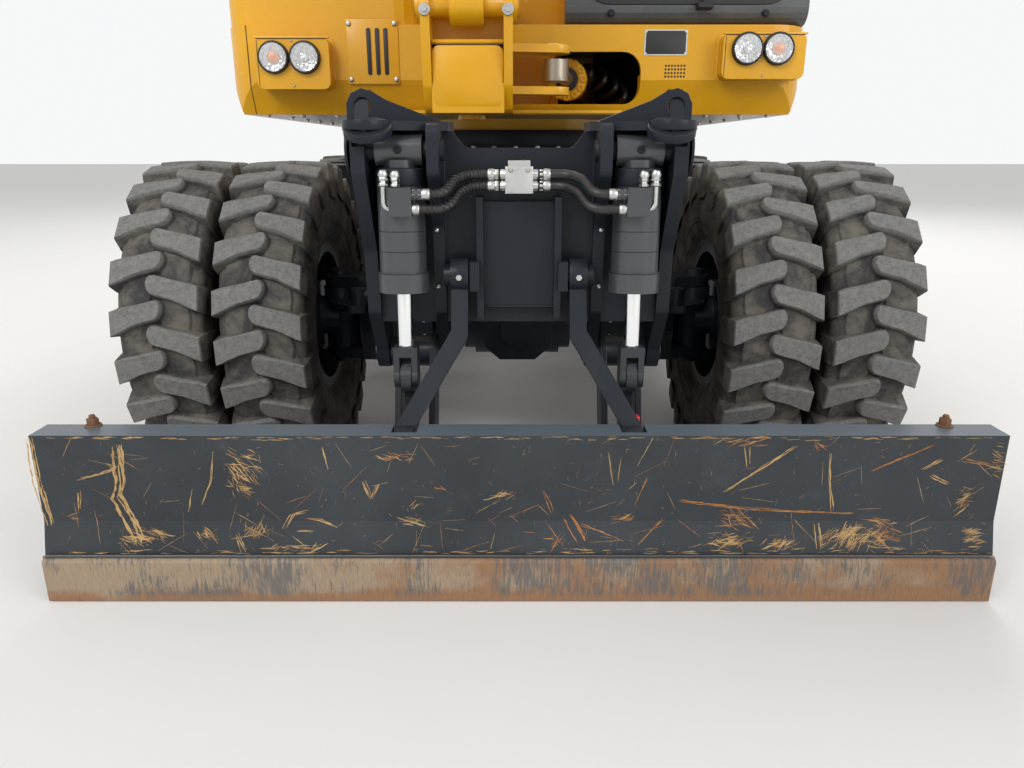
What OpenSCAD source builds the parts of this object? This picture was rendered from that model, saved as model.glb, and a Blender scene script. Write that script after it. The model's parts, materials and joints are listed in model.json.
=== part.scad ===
// A wheeled excavator with a parallel-linkage dozer blade, twin tyres, an offset boom
// and a one-piece boom, arm and bucket. X is the machine's left, -Y is forward, Z is up.

/* [Stance] */
// Distance between the two axles
wheelbase = 2400; // [2360:10:2460]
// Front axle ahead of the slew axis
front_reach = 1400; // [1380:10:1420]
// Overall width over the outer tyres
track_w = 2460; // [2450:5:2500]

/* [Wheels] */
// Tyre diameter over the lug tips
tyre_d = 1095; // [1085:1:1100]
// Width of one tyre at its sidewalls
tyre_w = 274; // [266:2:280]
// Distance between the middles of twin tyres
dual_pitch = 308; // [302:2:314]
// Height of a lug over the carcass
lug_h = 32; // [26:1:36]
// Lugs round one shoulder
lug_count = 28; // [24:1:30]
// Radius of the bead seat
rim_r = 256; // [250:1:260]
// Width between the rim's flanges
rim_w = 190; // [184:1:196]
// Radius of the hub drum
hub_r = 150; // [140:1:160]
// From the kingpin out to the wheel's disc
kingpin_in = 299; // [294:1:305]

/* [Blade] */
// Width of the dozer blade
blade_w = 2460; // [2400:10:2500]
// Height of the dozer blade
blade_h = 445; // [430:1:460]
// Cutting edge ahead of the front axle
blade_reach = 1031; // [1020:1:1040]
// Thickness of the mouldboard plate
board_t = 16; // [12:1:20]
// Height of the cutting edge
edge_h = 125; // [110:1:135]
// Thickness of the cutting edge
edge_t = 22; // [18:1:26]
// Depth of the blade's top box
blade_top = 84; // [76:1:92]
// Height of the arm pivots
arm_pivot_z = 560; // [550:1:570]
// Arm pivots ahead of the front axle
arm_pivot_reach = 575; // [570:1:585]
// Height from a lower blade pin to an upper one
link_rise = 252; // [246:1:258]
// Upper blade pins ahead of the lower ones
link_fwd = 175; // [170:1:178]
// Blade pins behind the cutting edge
blade_pin_back = 296; // [292:1:302]
// Height of the lower blade pins
blade_pin_z = 148; // [144:1:156]
// Radius of the linkage pins
link_pin_r = 30; // [26:1:32]
// Middle of each blade cylinder from the middle of the machine
blade_ram_x = 298; // [297:1:299]

/* [Upper structure] */
// Width of the upper structure
upper_w = 2260; // [2240:10:2300]
// Front of the upper structure ahead of the slew axis
upper_front = 1000; // [980:5:1010]
// Tail swing radius
tail_r = 1600; // [1580:10:1640]
// Height of the deck's underside
deck_z = 1262; // [1255:1:1275]
// Thickness of the deck plate
deck_t = 38; // [30:1:44]
// Height of the front skirt
skirt_h = 290; // [280:1:300]
// Height of the side housings above the deck
house_h = 700; // [680:10:740]
// Thickness of housing walls
wall_t = 24; // [18:1:30]

/* [Cab] */
// Cab's inner side from the middle of the machine
cab_x0 = 185; // [180:1:200]
// Width of the cab
cab_w = 920; // [900:5:930]
// Height of the cab over its floor
cab_h = 1458; // [1420:2:1490]
// Length of the cab
cab_len = 1560; // [1540:5:1580]
// Thickness of the cab's walls and door
cab_t = 52; // [44:1:58]
// Gap round the door
door_gap = 6; // [5:1:8]

/* [Working equipment] */
// Kingpost from the middle of the machine, to the right
kingpost_x = 165; // [160:1:170]
// Kingpost ahead of the slew axis
kingpost_reach = 1190; // [1188:1:1196]
// Boom between its foot pin and the arm pin
boom_len = 3900; // [3800:20:4000]
// Width of the boom box
boom_w = 236; // [220:2:250]
// Boom chord over the horizon at rest
boom_rest = 42; // [40:1:44]
// Arm between its pin and the bucket pin
arm_len = 1950; // [1850:10:2050]
// Turn from the boom chord down to the arm at rest
arm_rest = 112; // [110:1:114]
// Width of the arm box
arm_w = 190; // [180:2:200]
// Width of the bucket
bucket_w = 800; // [700:20:900]
// Radius from the bucket pin to the tooth tips
bucket_r = 1120; // [1060:10:1150]
// Teeth on the bucket
teeth = 5; // [4:1:6]

/* [Hidden] */

$fn = 48;
run = 0.05;      // radial clearance of a pin in its bore
seat = 0.3;      // gap between a piece and what carries it
side_gap = 2;    // gap beside an eye between its ears
big = 4000;      // longer than any cut

steel = "#2f3236";
yellow = "#e8a713";
rubber = "#4a4744";
bright = "#c9ccd0";
black = "#1b1c1e";

// Stance
front_y = -front_reach;
rear_y = wheelbase - front_reach;
axle_z = tyre_d / 2;
outer_x = track_w / 2 - tyre_w / 2;
inner_x = outer_x - dual_pitch;
disc_x = (outer_x + inner_x) / 2;
kingpin_x = disc_x - kingpin_in;

// Puts the origin on the ground under the middle of the bounding box
module placed() translate([0, origin_y, 0]) children();

// Helpers
function turn(p, a) = [p[0] * cos(a) - p[1] * sin(a), p[0] * sin(a) + p[1] * cos(a)];
function unit(v) = v / norm(v);
// Points of one rounded corner b between its neighbours a and c, within half of either side
function corner(a, b, c, want, n = 5) =
    let (u = unit(a - b), v = unit(c - b), half = acos(max(-1, min(1, u * v))) / 2,
         r = min(want, tan(half) * 0.48 * min(norm(a - b), norm(c - b))))
    r <= 0 || half > 89 ? [b] :
    let (m = b + unit(u + v) * r / sin(half), p = b + u * r / tan(half), q = b + v * r / tan(half),
         a0 = atan2(p[1] - m[1], p[0] - m[0]), d = atan2(q[1] - m[1], q[0] - m[0]) - a0,
         sweep = d > 180 ? d - 360 : d < -180 ? d + 360 : d)
    [for (i = [0:n]) m + r * [cos(a0 + sweep * i / n), sin(a0 + sweep * i / n)]];
// A closed outline of [x, y, radius] rows, its corners rounded
function outline(rows, n = 5) = [for (i = [0:len(rows) - 1])
    let (a = rows[(i + len(rows) - 1) % len(rows)], b = rows[i], c = rows[(i + 1) % len(rows)])
    each corner([a[0], a[1]], [b[0], b[1]], [c[0], c[1]], b[2], n)];
// Place of a point p = [along, above] of a link that leaves pin [y, z] at an angle over forward
function on_link(pin, angle, p) = let (q = turn(p, angle)) [pin[0] - q[0], pin[1] + q[1]];

// Extrudes a (y, z) outline from x0 to x1
module across(x0, x1) translate([x0, 0, 0]) rotate([90, 0, 90]) linear_extrude(x1 - x0) children();
// Extrudes an (x, z) outline from y0 to y1
module along(y0, y1) translate([0, y1, 0]) rotate([90, 0, 0]) linear_extrude(y1 - y0) children();
// Extrudes an (x, y) outline from z0 to z1
module up(z0, z1) translate([0, 0, z0]) linear_extrude(z1 - z0) children();
module bar_x(x0, x1, p, r) translate([x0, p[0], p[1]]) rotate([0, 90, 0]) cylinder(h = x1 - x0, r = r);
module block(x, y, z) translate([x[0], y[0], z[0]]) cube([x[1] - x[0], y[1] - y[0], z[1] - z[0]]);
module both() {
    children();
    mirror([1, 0, 0]) children();
}
// A link outline between two bosses
module strap(a, b, ra, rb) {
    d = b - a;
    t = atan2(d[1], d[0]);
    k = acos((ra - rb) / norm(d));
    translate(a) circle(ra);
    translate(b) circle(rb);
    polygon([a + ra * [cos(t + k), sin(t + k)], b + rb * [cos(t + k), sin(t + k)],
             b + rb * [cos(t - k), sin(t - k)], a + ra * [cos(t - k), sin(t - k)]]);
}
// Holds a link drawn in its own plane, forward and up, at its pin and angle
module on_pin(pin, angle, x = 0) translate([x, pin[0], pin[1]]) rotate([-angle, 0, 0]) mirror([0, 1, 0]) children();
// A path of 3-D points with its inner corners bent to a radius
function bent(p, want, n = 3) = concat([p[0]], [for (i = [1:len(p) - 2])
    let (u = unit(p[i - 1] - p[i]), v = unit(p[i + 1] - p[i]), half = acos(u * v) / 2,
         r = min(want, tan(half) * 0.48 * min(norm(p[i - 1] - p[i]), norm(p[i + 1] - p[i]))),
         m = p[i] + unit(u + v) * r / sin(half), sweep = 180 - 2 * half,
         e = unit(p[i] + u * r / tan(half) - m), f = unit(p[i] + v * r / tan(half) - m))
    each [for (k = [0:n]) m + r * (e * sin(sweep * (1 - k / n)) + f * sin(sweep * k / n)) / sin(sweep)]],
    [p[len(p) - 1]]);
// A round bar or hose swept along a path
module tube(p, r, n = 10) {
    last = len(p) - 1;
    skew = unit([0.31, 0.52, -0.79]);
    tangents = [for (i = [0:last]) unit((i < last ? unit(p[i + 1] - p[i]) : [0, 0, 0]) + (i > 0 ? unit(p[i] - p[i - 1]) : [0, 0, 0]))];
    points = [for (i = [0:last]) let (u = unit(cross(tangents[i], skew)), v = cross(tangents[i], u))
        each [for (k = [0:n - 1]) p[i] + r * (u * cos(360 * k / n) + v * sin(360 * k / n))]];
    sides = [for (i = [0:last - 1], k = [0:n - 1]) let (a = i * n + k, b = i * n + (k + 1) % n)
        each [[a, b + n, b], [a, a + n, b + n]]];
    polyhedron(points, concat(sides, [[for (k = [0:n - 1]) k]], [[for (k = [n - 1:-1:0]) last * n + k]]));
}
// Turns +Z to point from a to b in the plane at x
module towards(a, b, x) translate([x, a[0], a[1]]) rotate([atan2(a[0] - b[0], b[1] - a[1]), 0, 0]) children();

// A cylinder barrel that leaves its foot pin a towards b: r = [body, rod, eye, pin]
module ram_barrel(a, b, x, r, body, eye_w, neck = 30) towards(a, b, x) difference() {
    union() {
        rotate([0, 90, 0]) cylinder(h = eye_w, r = r[2], center = true);
        translate([0, 0, r[2] * 0.6]) cylinder(h = r[2] * 0.4 + neck, r = r[0] * 0.72);
        translate([0, 0, r[2] + neck / 2]) cylinder(h = body - r[2] - neck / 2, r = r[0]);
        translate([0, 0, body - 46]) cylinder(h = 52, r = r[0] + 5);
    }
    translate([0, 0, r[2] + neck]) cylinder(h = body, r = r[1] + seat);
    rotate([0, 90, 0]) cylinder(h = eye_w + 2, r = r[3] + run, center = true);
}
// Its rod, out of the barrel by length tail before the eye at b
module ram_rod(a, b, x, r, tail, eye_w) towards(a, b, x) {
    reach = norm(b - a);
    translate([0, 0, reach - tail]) cylinder(h = tail, r = r[1]);
    translate([0, 0, reach]) rotate([0, 90, 0]) cylinder(h = eye_w, r = r[2] * 0.92, center = true);
    translate([0, 0, reach - r[2] * 1.5]) cylinder(h = r[2], r1 = r[1] * 1.15, r2 = r[1] * 1.4);
}

// Chassis
trunnion = [-250, 240];      // outer faces of the front axle's carriers
trunnion_r = [60, 80];
chassis_x = 300;       // half width of the main box
chassis_z0 = 700;
chassis_z1 = 1010;
chassis_y0 = front_y - 560;
chassis_y1 = rear_y + 480;
plate = 24;
ring_r0 = 430;
ring_r1 = 545;
ring_z0 = 1130;
ring_z1 = 1214;

module chassis() placed() color(steel) {
    difference() {
        union() {
            block([-chassis_x, chassis_x], [chassis_y0, chassis_y1], [chassis_z0, chassis_z1]);
            up(chassis_z1 - 80, ring_z0) circle(ring_r1 + 25);
            // Outriggers that carry the steps
            for (y = [-120, 260]) block([-step_x, step_x], [y, y + 60], [chassis_z0 + 30, chassis_z1 - 20]);
            // Axle carriers
            for (y = [trunnion[0], trunnion[1] - 40]) along(front_y + y, front_y + y + 40)
                polygon([[-150, chassis_z0 + plate], [150, chassis_z0 + plate], [110, axle_z - 60], [60, axle_z - 104], [-60, axle_z - 104], [-110, axle_z - 60]]);
            both() block([190, 250], [rear_y - 150, rear_y + 150], [axle_z + 112, chassis_z0 + plate]);
        }
        // Open pockets between the ribs
        for (y = [[chassis_y0 + plate, front_y - 160], [front_y + 190, -480], [480, rear_y - 190],
                  [rear_y + 190, chassis_y1 - plate]])
            block([plate - chassis_x, chassis_x - plate], y, [chassis_z0 - 1, chassis_z1 - plate]);
        block([plate - chassis_x, chassis_x - plate], [plate - 480, 480 - plate], [chassis_z0 - 1, chassis_z1 - 90]);
        up(chassis_z0, ring_z0 + 1) circle(ring_r0 - 150);
        translate([0, front_y - 300, axle_z]) rotate([-90, 0, 0]) cylinder(h = 200, r = trunnion_r[0] + run);
        translate([0, front_y + 150, axle_z]) rotate([-90, 0, 0]) cylinder(h = 200, r = trunnion_r[1] + run);
    }
    // Rear towing bracket
    difference() {
        block([-45, 45], [chassis_y1 - 1, chassis_y1 + tow_l], [790, 830]);
        translate([0, chassis_y1 + 62, 780]) cylinder(h = 60, r = tow_r);
    }
}
tow_r = 22;
tow_l = 100;

module slew_ring() placed() color(steel) difference() {
    up(ring_z0, ring_z1) circle(ring_r1);
    up(ring_z0 - 1, ring_z1 + 1) circle(ring_r0);
}

// Blade mount
mount_y0 = -2100;      // front of the transverse plate
mount_z0 = 675;
mount_z1 = 1197;
notch_z = 1135;
rib_x = 103;
side_in = [196, 226];
side_out = [375, 410];
arm_pivot = [front_y - arm_pivot_reach, arm_pivot_z];
link_pivot = arm_pivot + [-link_fwd, link_rise];
blade_front = front_y - blade_reach;
arm_pin = [blade_front + blade_pin_back, blade_pin_z];
link_pin = arm_pin + [-link_fwd, link_rise];
lift_pin = [-2185, 1128];
lift_eye = [-2215, 553];
lift_r = [60, 21, 40, 26];
lash_r = 28;
lash_t = 22;
lash = [368, -2240];

module blade_mount() placed() color(steel) {
    difference() {
        union() {
            // Transverse plate with its notch, and the box behind it
            along(mount_y0, mount_y0 + plate) polygon(outline([
                [-side_out[1], mount_z0, 30], [side_out[1], mount_z0, 30], [side_out[1], mount_z1, 0], [190, mount_z1, 20],
                [140, notch_z, 20], [-140, notch_z, 20], [-190, mount_z1, 20], [-side_out[1], mount_z1, 0]]));
            block([-chassis_x, chassis_x], [mount_y0 + 1, chassis_y0], [mount_z0 + 25, 1090]);
            // Inner and outer side plates
            both() across(side_in[0], side_in[1]) mount_side(0);
            both() across(side_out[0], side_out[1]) mount_side(60);
            // Centre box and its ribs
            block([-rib_x, rib_x], [mount_y0 - 26, mount_y0 + 1], [mount_z0 + 45, 1000]);
            both() block([rib_x - 10, rib_x + 8], [mount_y0 - 60, mount_y0 + 1], [mount_z0 + 20, 1013]);
            // Top plates with their lashing ears
            both() difference() {
                union() {
                    up(mount_z1 - lash_t, mount_z1) polygon([[170, mount_y0 + 30], [side_out[1], mount_y0 + 30],
                        [side_out[1], lash[1]], [330, lash[1]], [200, -2190], [180, -2150]]);
                    translate([lash[0], lash[1], mount_z1 - lash_t]) cylinder(h = lash_t, r = 58);
                    across(side_out[0], side_out[1]) polygon(outline([[mount_y0 + 30, mount_z1 - 10, 0],
                        [mount_y0 - 70, mount_z1 - 10, 0], [mount_y0 - 50, mount_z1 + 78, 34], [mount_y0 + 20, mount_z1 + 78, 34]]));
                }
                bar_x(side_out[0] - 1, side_out[1] + 1, [mount_y0 - 15, mount_z1 + 40], 19);
            }
            // Link pins
            both() bar_x(rib_x, side_in[0] + 1, link_pivot, link_pin_r);
            both() block([rib_x, 128], [link_pivot[0] - 38, mount_y0 + 1], [link_pivot[1] - 38, link_pivot[1] + 38]);
        }
        both() bar_x(side_in[0] - 1, side_out[1] + 1, lift_pin, lift_r[3]);
        both() translate([lash[0], lash[1], mount_z1 - lash_t - 1]) cylinder(h = lash_t + 2, r = lash_r);
        both() translate([lash[0], lash[1], mount_z1 - 60]) cylinder(h = 60 - lash_t, r = lash_r + 10);
    }
    both() bar_x(side_in[0] - 8, side_out[1] + 8, arm_pivot, link_pin_r);
    both() bar_x(side_in[0] - 8, side_out[1] + 8, lift_pin, lift_r[3]);
}
module mount_side(drop) polygon(outline([[mount_y0 + 1, mount_z1 - 5, 0], [lift_pin[0] - 66, mount_z1 - 5, 30],
    [lift_pin[0] - 66, notch_z - 60, 40], [mount_y0 - 36, 930 - drop, 60], [mount_y0 - 20, 700, 40],
    [arm_pivot[0] - 52, arm_pivot[1] + 20, 30], [arm_pivot[0] - 40, arm_pivot[1] - 44, 30], [arm_pivot[0] + 44, arm_pivot[1] - 44, 40],
    [arm_pivot[0] + 46, arm_pivot[1] + 60, 20], [chassis_y0 - 5, chassis_z0 - 10, 0],
    [mount_y0 + plate, mount_z0 + 100, 0]]));

// Steps and boxes between the axles
step_y = [front_y + tyre_d / 2 + 262.5, rear_y - tyre_d / 2 - 32.5];
step_x = ring_r1 + 31;     // inner face, clear of the turret
module steps() placed() color(steel) both() {
    difference() {
        block([step_x, 1010], [step_y[0] + 60, step_y[1] - 40], [560, 1060]);
        block([step_x + 29, 1011], [step_y[0] + 90, -30], [590, 1030]);
        block([step_x + 29, 980], [10, step_y[1] - 70], [590, 1061]);
    }
    // Treads
    for (z = [330, 600, 860]) block([960, 1170], [step_y[0] + 60, 0], [z, z + 30]);
    for (y = [step_y[0] + 60, -24]) block([1000, 1024], [y, y + 24], [330, 890]);
    block([step_x + 29, 1010], [14, step_y[1] - 74], [1045, 1068]);
}

// Axles
spindle_r = 70;
fork_h = 150;
module front_axle() placed() color(steel) difference() {
    union() {
        bar_x(80 - kingpin_x, kingpin_x - 80, [front_y, axle_z], 92);
        bar_x(-150, 150, [front_y, axle_z], 138);
        bar_x(-190, 190, [front_y, axle_z], 120);
        translate([0, front_y, axle_z]) rotate([-90, 0, 0]) cylinder(h = 190, r1 = 134, r2 = 92);
        translate([0, front_y, axle_z]) rotate([-90, 0, 0]) cylinder(h = 280, r = trunnion_r[1]);
        translate([0, front_y - 262, axle_z]) rotate([-90, 0, 0]) cylinder(h = 262, r = trunnion_r[0]);
        translate([0, front_y + 279, axle_z]) rotate([-90, 0, 0]) cylinder(h = 21, r = 56);
        both() {
            up(axle_z + 110, axle_z + fork_h) fork_plan();
            up(axle_z - fork_h, axle_z - 110) fork_plan();
            block([kingpin_x - 140, kingpin_x - 80], [front_y - 80, front_y + 80], [axle_z - fork_h, axle_z + fork_h]);
        }
    }
    both() translate([kingpin_x, front_y, axle_z - fork_h - 1]) cylinder(h = 2 * fork_h + 2, r = 34 + run);
    // Room for the steering arms
    both() block([kingpin_x - 200, kingpin_x - 70], [front_y - 93, front_y - 8], [steer_z - 36, steer_z + 8]);
}
module fork_plan() {
    translate([kingpin_x, front_y]) circle(56);
    polygon([[kingpin_x - 140, front_y - 80], [kingpin_x - 140, front_y + 80], [kingpin_x, front_y + 56],
        [kingpin_x, front_y - 56]]);
}
module rear_axle() placed() color(steel) {
    bar_x(-disc_x - 90, disc_x + 90, [rear_y, axle_z], spindle_r);
    bar_x(279 - disc_x, disc_x - 279, [rear_y, axle_z], 92);
    bar_x(-150, 150, [rear_y, axle_z], chassis_z0 - axle_z - 4);
    both() bar_x(disc_x - 299, disc_x - 179, [rear_y, axle_z], 128);
    both() block([170, 270], [rear_y - 110, rear_y + 110], [axle_z + 40, axle_z + 112]);
    // Gearbox on the axle and the shaft to the front axle
    translate([0, rear_y - 310, axle_z]) rotate([-90, 0, 0]) cylinder(h = 311, r1 = 100, r2 = 150);
    block([-130, 130], [rear_y - 420, rear_y - 300], [axle_z - 130, axle_z + 150]);
    translate([0, front_y + 300 + seat, axle_z]) rotate([-90, 0, 0]) cylinder(h = 60, r = 60);
    translate([0, front_y + 350, axle_z]) rotate([-90, 0, 0]) cylinder(h = rear_y - 400 - front_y - 350, r = 38);
}
module knuckle(s) {
    translate([s * kingpin_x, front_y, axle_z - fork_h - 20]) cylinder(h = 2 * fork_h + 40, r = 34);
    translate([s * kingpin_x, front_y, axle_z - 109.5]) cylinder(h = 219, r = 62);
    mirror([s < 0 ? 1 : 0, 0, 0]) {
        bar_x(kingpin_x, disc_x + 90, [front_y, axle_z], spindle_r);
        bar_x(kingpin_x + 70, disc_x - 169, [front_y, axle_z], 128);
        // Steering arm ahead of the axle
        up(steer_z - 28, steer_z) polygon(outline([[kingpin_x - 40, front_y - 20, 0],
            [kingpin_x + 50, front_y - 20, 0], [kingpin_x + 20, front_y - 110, 40],
            [kingpin_x - 60, front_y - steer_arm - 34, 30], [kingpin_x - 128, front_y - steer_arm - 20, 30],
            [kingpin_x - 100, front_y - steer_arm + 30, 30]]));
    }
}
steer_arm = 150;
module knuckle_left() placed() color(steel) knuckle(1);
module knuckle_right() placed() color(steel) knuckle(-1);
steer_z = axle_z + 68;
module steering_rod() placed() color(steel) {
    bar_x(-kingpin_x + 92, kingpin_x - 92, [front_y - steer_arm, steer_z + 33], 22);
    bar_x(-210, 210, [front_y - steer_arm, steer_z + 33], 35);
    both() translate([kingpin_x - 92, front_y - steer_arm, steer_z + seat]) cylinder(h = 56, r = 30);
}

// Wheels
lug_tail = 52;        // farthest a lug reaches from its middle
lug_top = sqrt(pow(tyre_d / 2, 2) - pow(lug_tail, 2));
carcass_r = lug_top - lug_h;
module tyre(x, flip) translate([x, 0, 0]) rotate([0, 90, 0]) {
    half = tyre_w / 2;
    rotate_extrude() polygon([[rim_r + seat, -rim_w / 2 + 12], [rim_r + 24, -rim_w / 2 + 12], [rim_r + 24, -rim_w / 2 - 2],
        [rim_r + 50, -half + 16], [rim_r + 120, -half], [carcass_r - 60, -half + 4], [carcass_r - 14, -half + 26],
        [carcass_r, -half + 60], [carcass_r, half - 60], [carcass_r - 14, half - 26],
        [carcass_r - 60, half - 4], [rim_r + 120, half], [rim_r + 50, half - 16], [rim_r + 24, rim_w / 2 + 2],
        [rim_r + 24, rim_w / 2 - 12], [rim_r + seat, rim_w / 2 - 12]]);
    for (side = [-1, 1], i = [0:lug_count - 1])
        rotate([0, 0, (i + (side > 0 ? 0.5 : 0)) * 360 / lug_count]) lug(side * flip, side);
}
// One chevron lug as a flat prism
module lug(slant, side) {
    half = tyre_w / 2;
    translate([carcass_r - 40, 0, 0]) rotate([0, 90, 0]) linear_extrude(40 + lug_h)
        scale([side, slant]) polygon([[-8, -34], [22, -lug_tail], [half - 6, -12], [half - 6, 34], [half - 30, 34], [-8, 2]]);
}
module tyres(s, y) color(rubber) translate([0, y, axle_z]) {
    tyre(s * outer_x, s);
    tyre(s * inner_x, s);
}
module tyres_front_left() placed() tyres(1, front_y);
module tyres_front_right() placed() tyres(-1, front_y);
module tyres_rear_left() placed() tyres(1, rear_y);
module tyres_rear_right() placed() tyres(-1, rear_y);

module rims(s, y) color(steel) translate([s * disc_x, y, axle_z]) rotate([0, s * 90, 0]) {
    o = dual_pitch / 2;
    h = rim_w / 2;
    rotate_extrude() {
        polygon([[rim_r - 26, -o - h], [rim_r + 22, -o - h], [rim_r + 22, -o - h + 10], [rim_r, -o - h + 10],
            [rim_r, -o + h - 10], [rim_r + 22, -o + h - 10], [rim_r + 22, -o + h], [rim_r - 8, -o + h],
            [rim_r - 8, o - h], [rim_r + 22, o - h], [rim_r + 22, o - h + 10], [rim_r, o - h + 10],
            [rim_r, o + h - 10], [rim_r + 22, o + h - 10], [rim_r + 22, o + h], [rim_r - 26, o + h]]);
        polygon([[spindle_r + run, -130], [hub_r, -130], [hub_r, -24], [rim_r - 20, -24], [rim_r - 20, 4], [hub_r, 4],
            [hub_r, 120], [hub_r - 40, 160], [0, 160], [0, 110], [spindle_r + run, 110]]);
    }
}
module rims_front_left() placed() rims(1, front_y);
module rims_front_right() placed() rims(-1, front_y);
module rims_rear_left() placed() rims(1, rear_y);
module rims_rear_right() placed() rims(-1, rear_y);

// Blade linkage
module blade_arms() placed() color(steel) both() difference() {
    union() {
        for (x = [[238, 258], [338, 356]]) across(x[0], x[1]) strap(arm_pivot, arm_pin, 50, 50);
        bar_x(228, 372, arm_pivot, 46);
        bar_x(238, 356, arm_pin, 44);
    }
    bar_x(200, 400, arm_pivot, link_pin_r + run);
    bar_x(200, 400, arm_pin, link_pin_r + run);
}
// Bent flat bars, drawn in the plane of their own face
link_x = [156, 296];
link_w = 22;
link_boss = 44;
module blade_links() placed() color(bright) both() {
    v = link_pin - link_pivot;
    len = norm(v);
    knee = len * 0.36;
    w = link_w;
    difference() {
        union() {
            towards(link_pivot, link_pin, 0) translate([0, 13, 0]) rotate([90, 0, 0]) linear_extrude(26) polygon([
                [link_x[0] - w, -20], [link_x[0] + w, -20], [link_x[0] + w, knee - 8], [link_x[1] + w, len - 46],
                [link_x[1] + w, len + 10], [link_x[1] - w, len + 10], [link_x[1] - w, len - 32], [link_x[0] - w, knee + 8]]);
            bar_x(link_x[0] - w - 1.5, link_x[0] + w + 1.5, link_pivot, link_boss);
            bar_x(link_x[1] - w - 1.5, link_x[1] + w + 1.5, link_pin, link_boss);
        }
        bar_x(link_x[0] - w - 3, link_x[0] + w + 3, link_pivot, link_pin_r + run);
        bar_x(link_x[1] - w - 3, link_x[1] + w + 3, link_pin, link_pin_r + run);
    }
}
board_y = blade_front + 46;      // front of the blade's top edge
module blade() placed() color(steel) {
    hw = blade_w / 2;
    // Mouldboard, pressed with two bends, and its top box
    difference() {
        across(-hw, hw) polygon([[blade_front + edge_t, 30], [blade_front + edge_t + board_t, 30],
            [blade_front + 44 + board_t, 210], [board_y + board_t, blade_h - 20], [board_y + blade_top, blade_h - 20],
            [board_y + blade_top, blade_h], [board_y, blade_h], [blade_front + 44, 210], [blade_front + edge_t, 125]]);
        // The bent bars pass through its rear edge
        both() block([link_x[1] - link_w - 14, link_x[1] + link_w + 7], [link_pin[0] - link_boss - 7, board_y + blade_top + 1],
            [blade_h - 21, blade_h + 1]);
    }
    // Back box and its ribs
    across(-hw + 20, hw - 20) polygon([[blade_front + edge_t + board_t - 4, 60], [blade_front + 150, 60],
        [blade_front + 150, 230], [blade_front + 44 + board_t - 4, 230], [blade_front + 44 + board_t - 4, 210]]);
    both() for (x = [20, 700, hw - 22]) across(x, x + 18) polygon([[blade_front + 60, 220], [blade_front + 148, 220],
        [board_y + blade_top, blade_h - 10], [board_y + 10, blade_h - 10]]);
    // Lugs for arms and links, and the horns for the lift rods
    both() {
        for (x = [[212, 232], [362, 384]]) across(x[0], x[1]) polygon(outline([[blade_front + 60, 40, 0],
            [arm_pin[0] + 20, 90, 30], [arm_pin[0] + 52, arm_pin[1] - 40, 30], [arm_pin[0] + 52, arm_pin[1] + 54, 40],
            [arm_pin[0] - 70, arm_pin[1] + 60, 60], [link_pin[0] + 56, link_pin[1] - 40, 40], [link_pin[0] + 46, link_pin[1] + 38, 30],
            [board_y + 30, link_pin[1] + 38, 0], [board_y + 10, blade_h - 30, 0], [blade_front + 60, 220, 0]]));
        bar_x(206, 390, arm_pin, link_pin_r);
        bar_x(208, 388, link_pin, link_pin_r);
        across(blade_ram_x - 14, blade_ram_x + 14) polygon(outline([[blade_front + 140, 215, 0], [lift_eye[0] + 55, 215, 30],
            [lift_eye[0] + 120, 300, 60], [lift_eye[0] + 105, 500, 60], [lift_eye[0] + 30, lift_eye[1] + 36, 34],
            [lift_eye[0] - 36, lift_eye[1] + 32, 34], [lift_eye[0] - 32, lift_eye[1] - 38, 30], [lift_eye[0] + 36, lift_eye[1] - 50, 30],
            [lift_eye[0] + 40, 440, 40], [lift_eye[0], 345, 40], [blade_front + 140, 345, 0]]));
    }
}
module cutting_edge() placed() color("#a98a63") across(-blade_w / 2, blade_w / 2)
    polygon([[blade_front, 0], [blade_front + 12, 0], [blade_front + edge_t - seat, 24], [blade_front + edge_t - seat, edge_h],
        [blade_front + 12, edge_h], [blade_front, edge_h - 12]]);
lift_min = 446;
lift_body = 345;
module blade_barrels() placed() color(steel) both()
{
    ram_barrel(lift_pin, lift_eye, blade_ram_x, lift_r, lift_body, 116, 16);
    // Bracket that takes the hoses
    difference() {
        union() {
            block([pipe_x[1] + seat, 318], [pipe_y - 16, pipe_y + 40], [pipe_z[1] - 16, pipe_z[0] + 16]);
            bar_x(pipe_x[0] + seat, pipe_x[1] + 1, [pipe_y, pipe_z[0]], hose_r + 2);
        }
        towards(lift_pin, lift_eye, blade_ram_x) cylinder(h = lift_body, r = lift_r[0] - 4);
    }
}
module blade_rods() placed() color(bright) both() towards(lift_pin, lift_eye, blade_ram_x) {
    reach = norm(lift_eye - lift_pin);
    translate([0, 0, reach - 340]) cylinder(h = 285, r = lift_r[1]);
    // Fork that straddles the horn
    translate([-31, -30, reach - 80]) cube([62, 60, 26]);
    for (x = [-31, 16]) translate([x, 0, 0]) rotate([0, 90, 0]) linear_extrude(15) {
        translate([-reach, 0]) circle(33);
        translate([-reach, -30]) square([70, 60]);
    }
}

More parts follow.
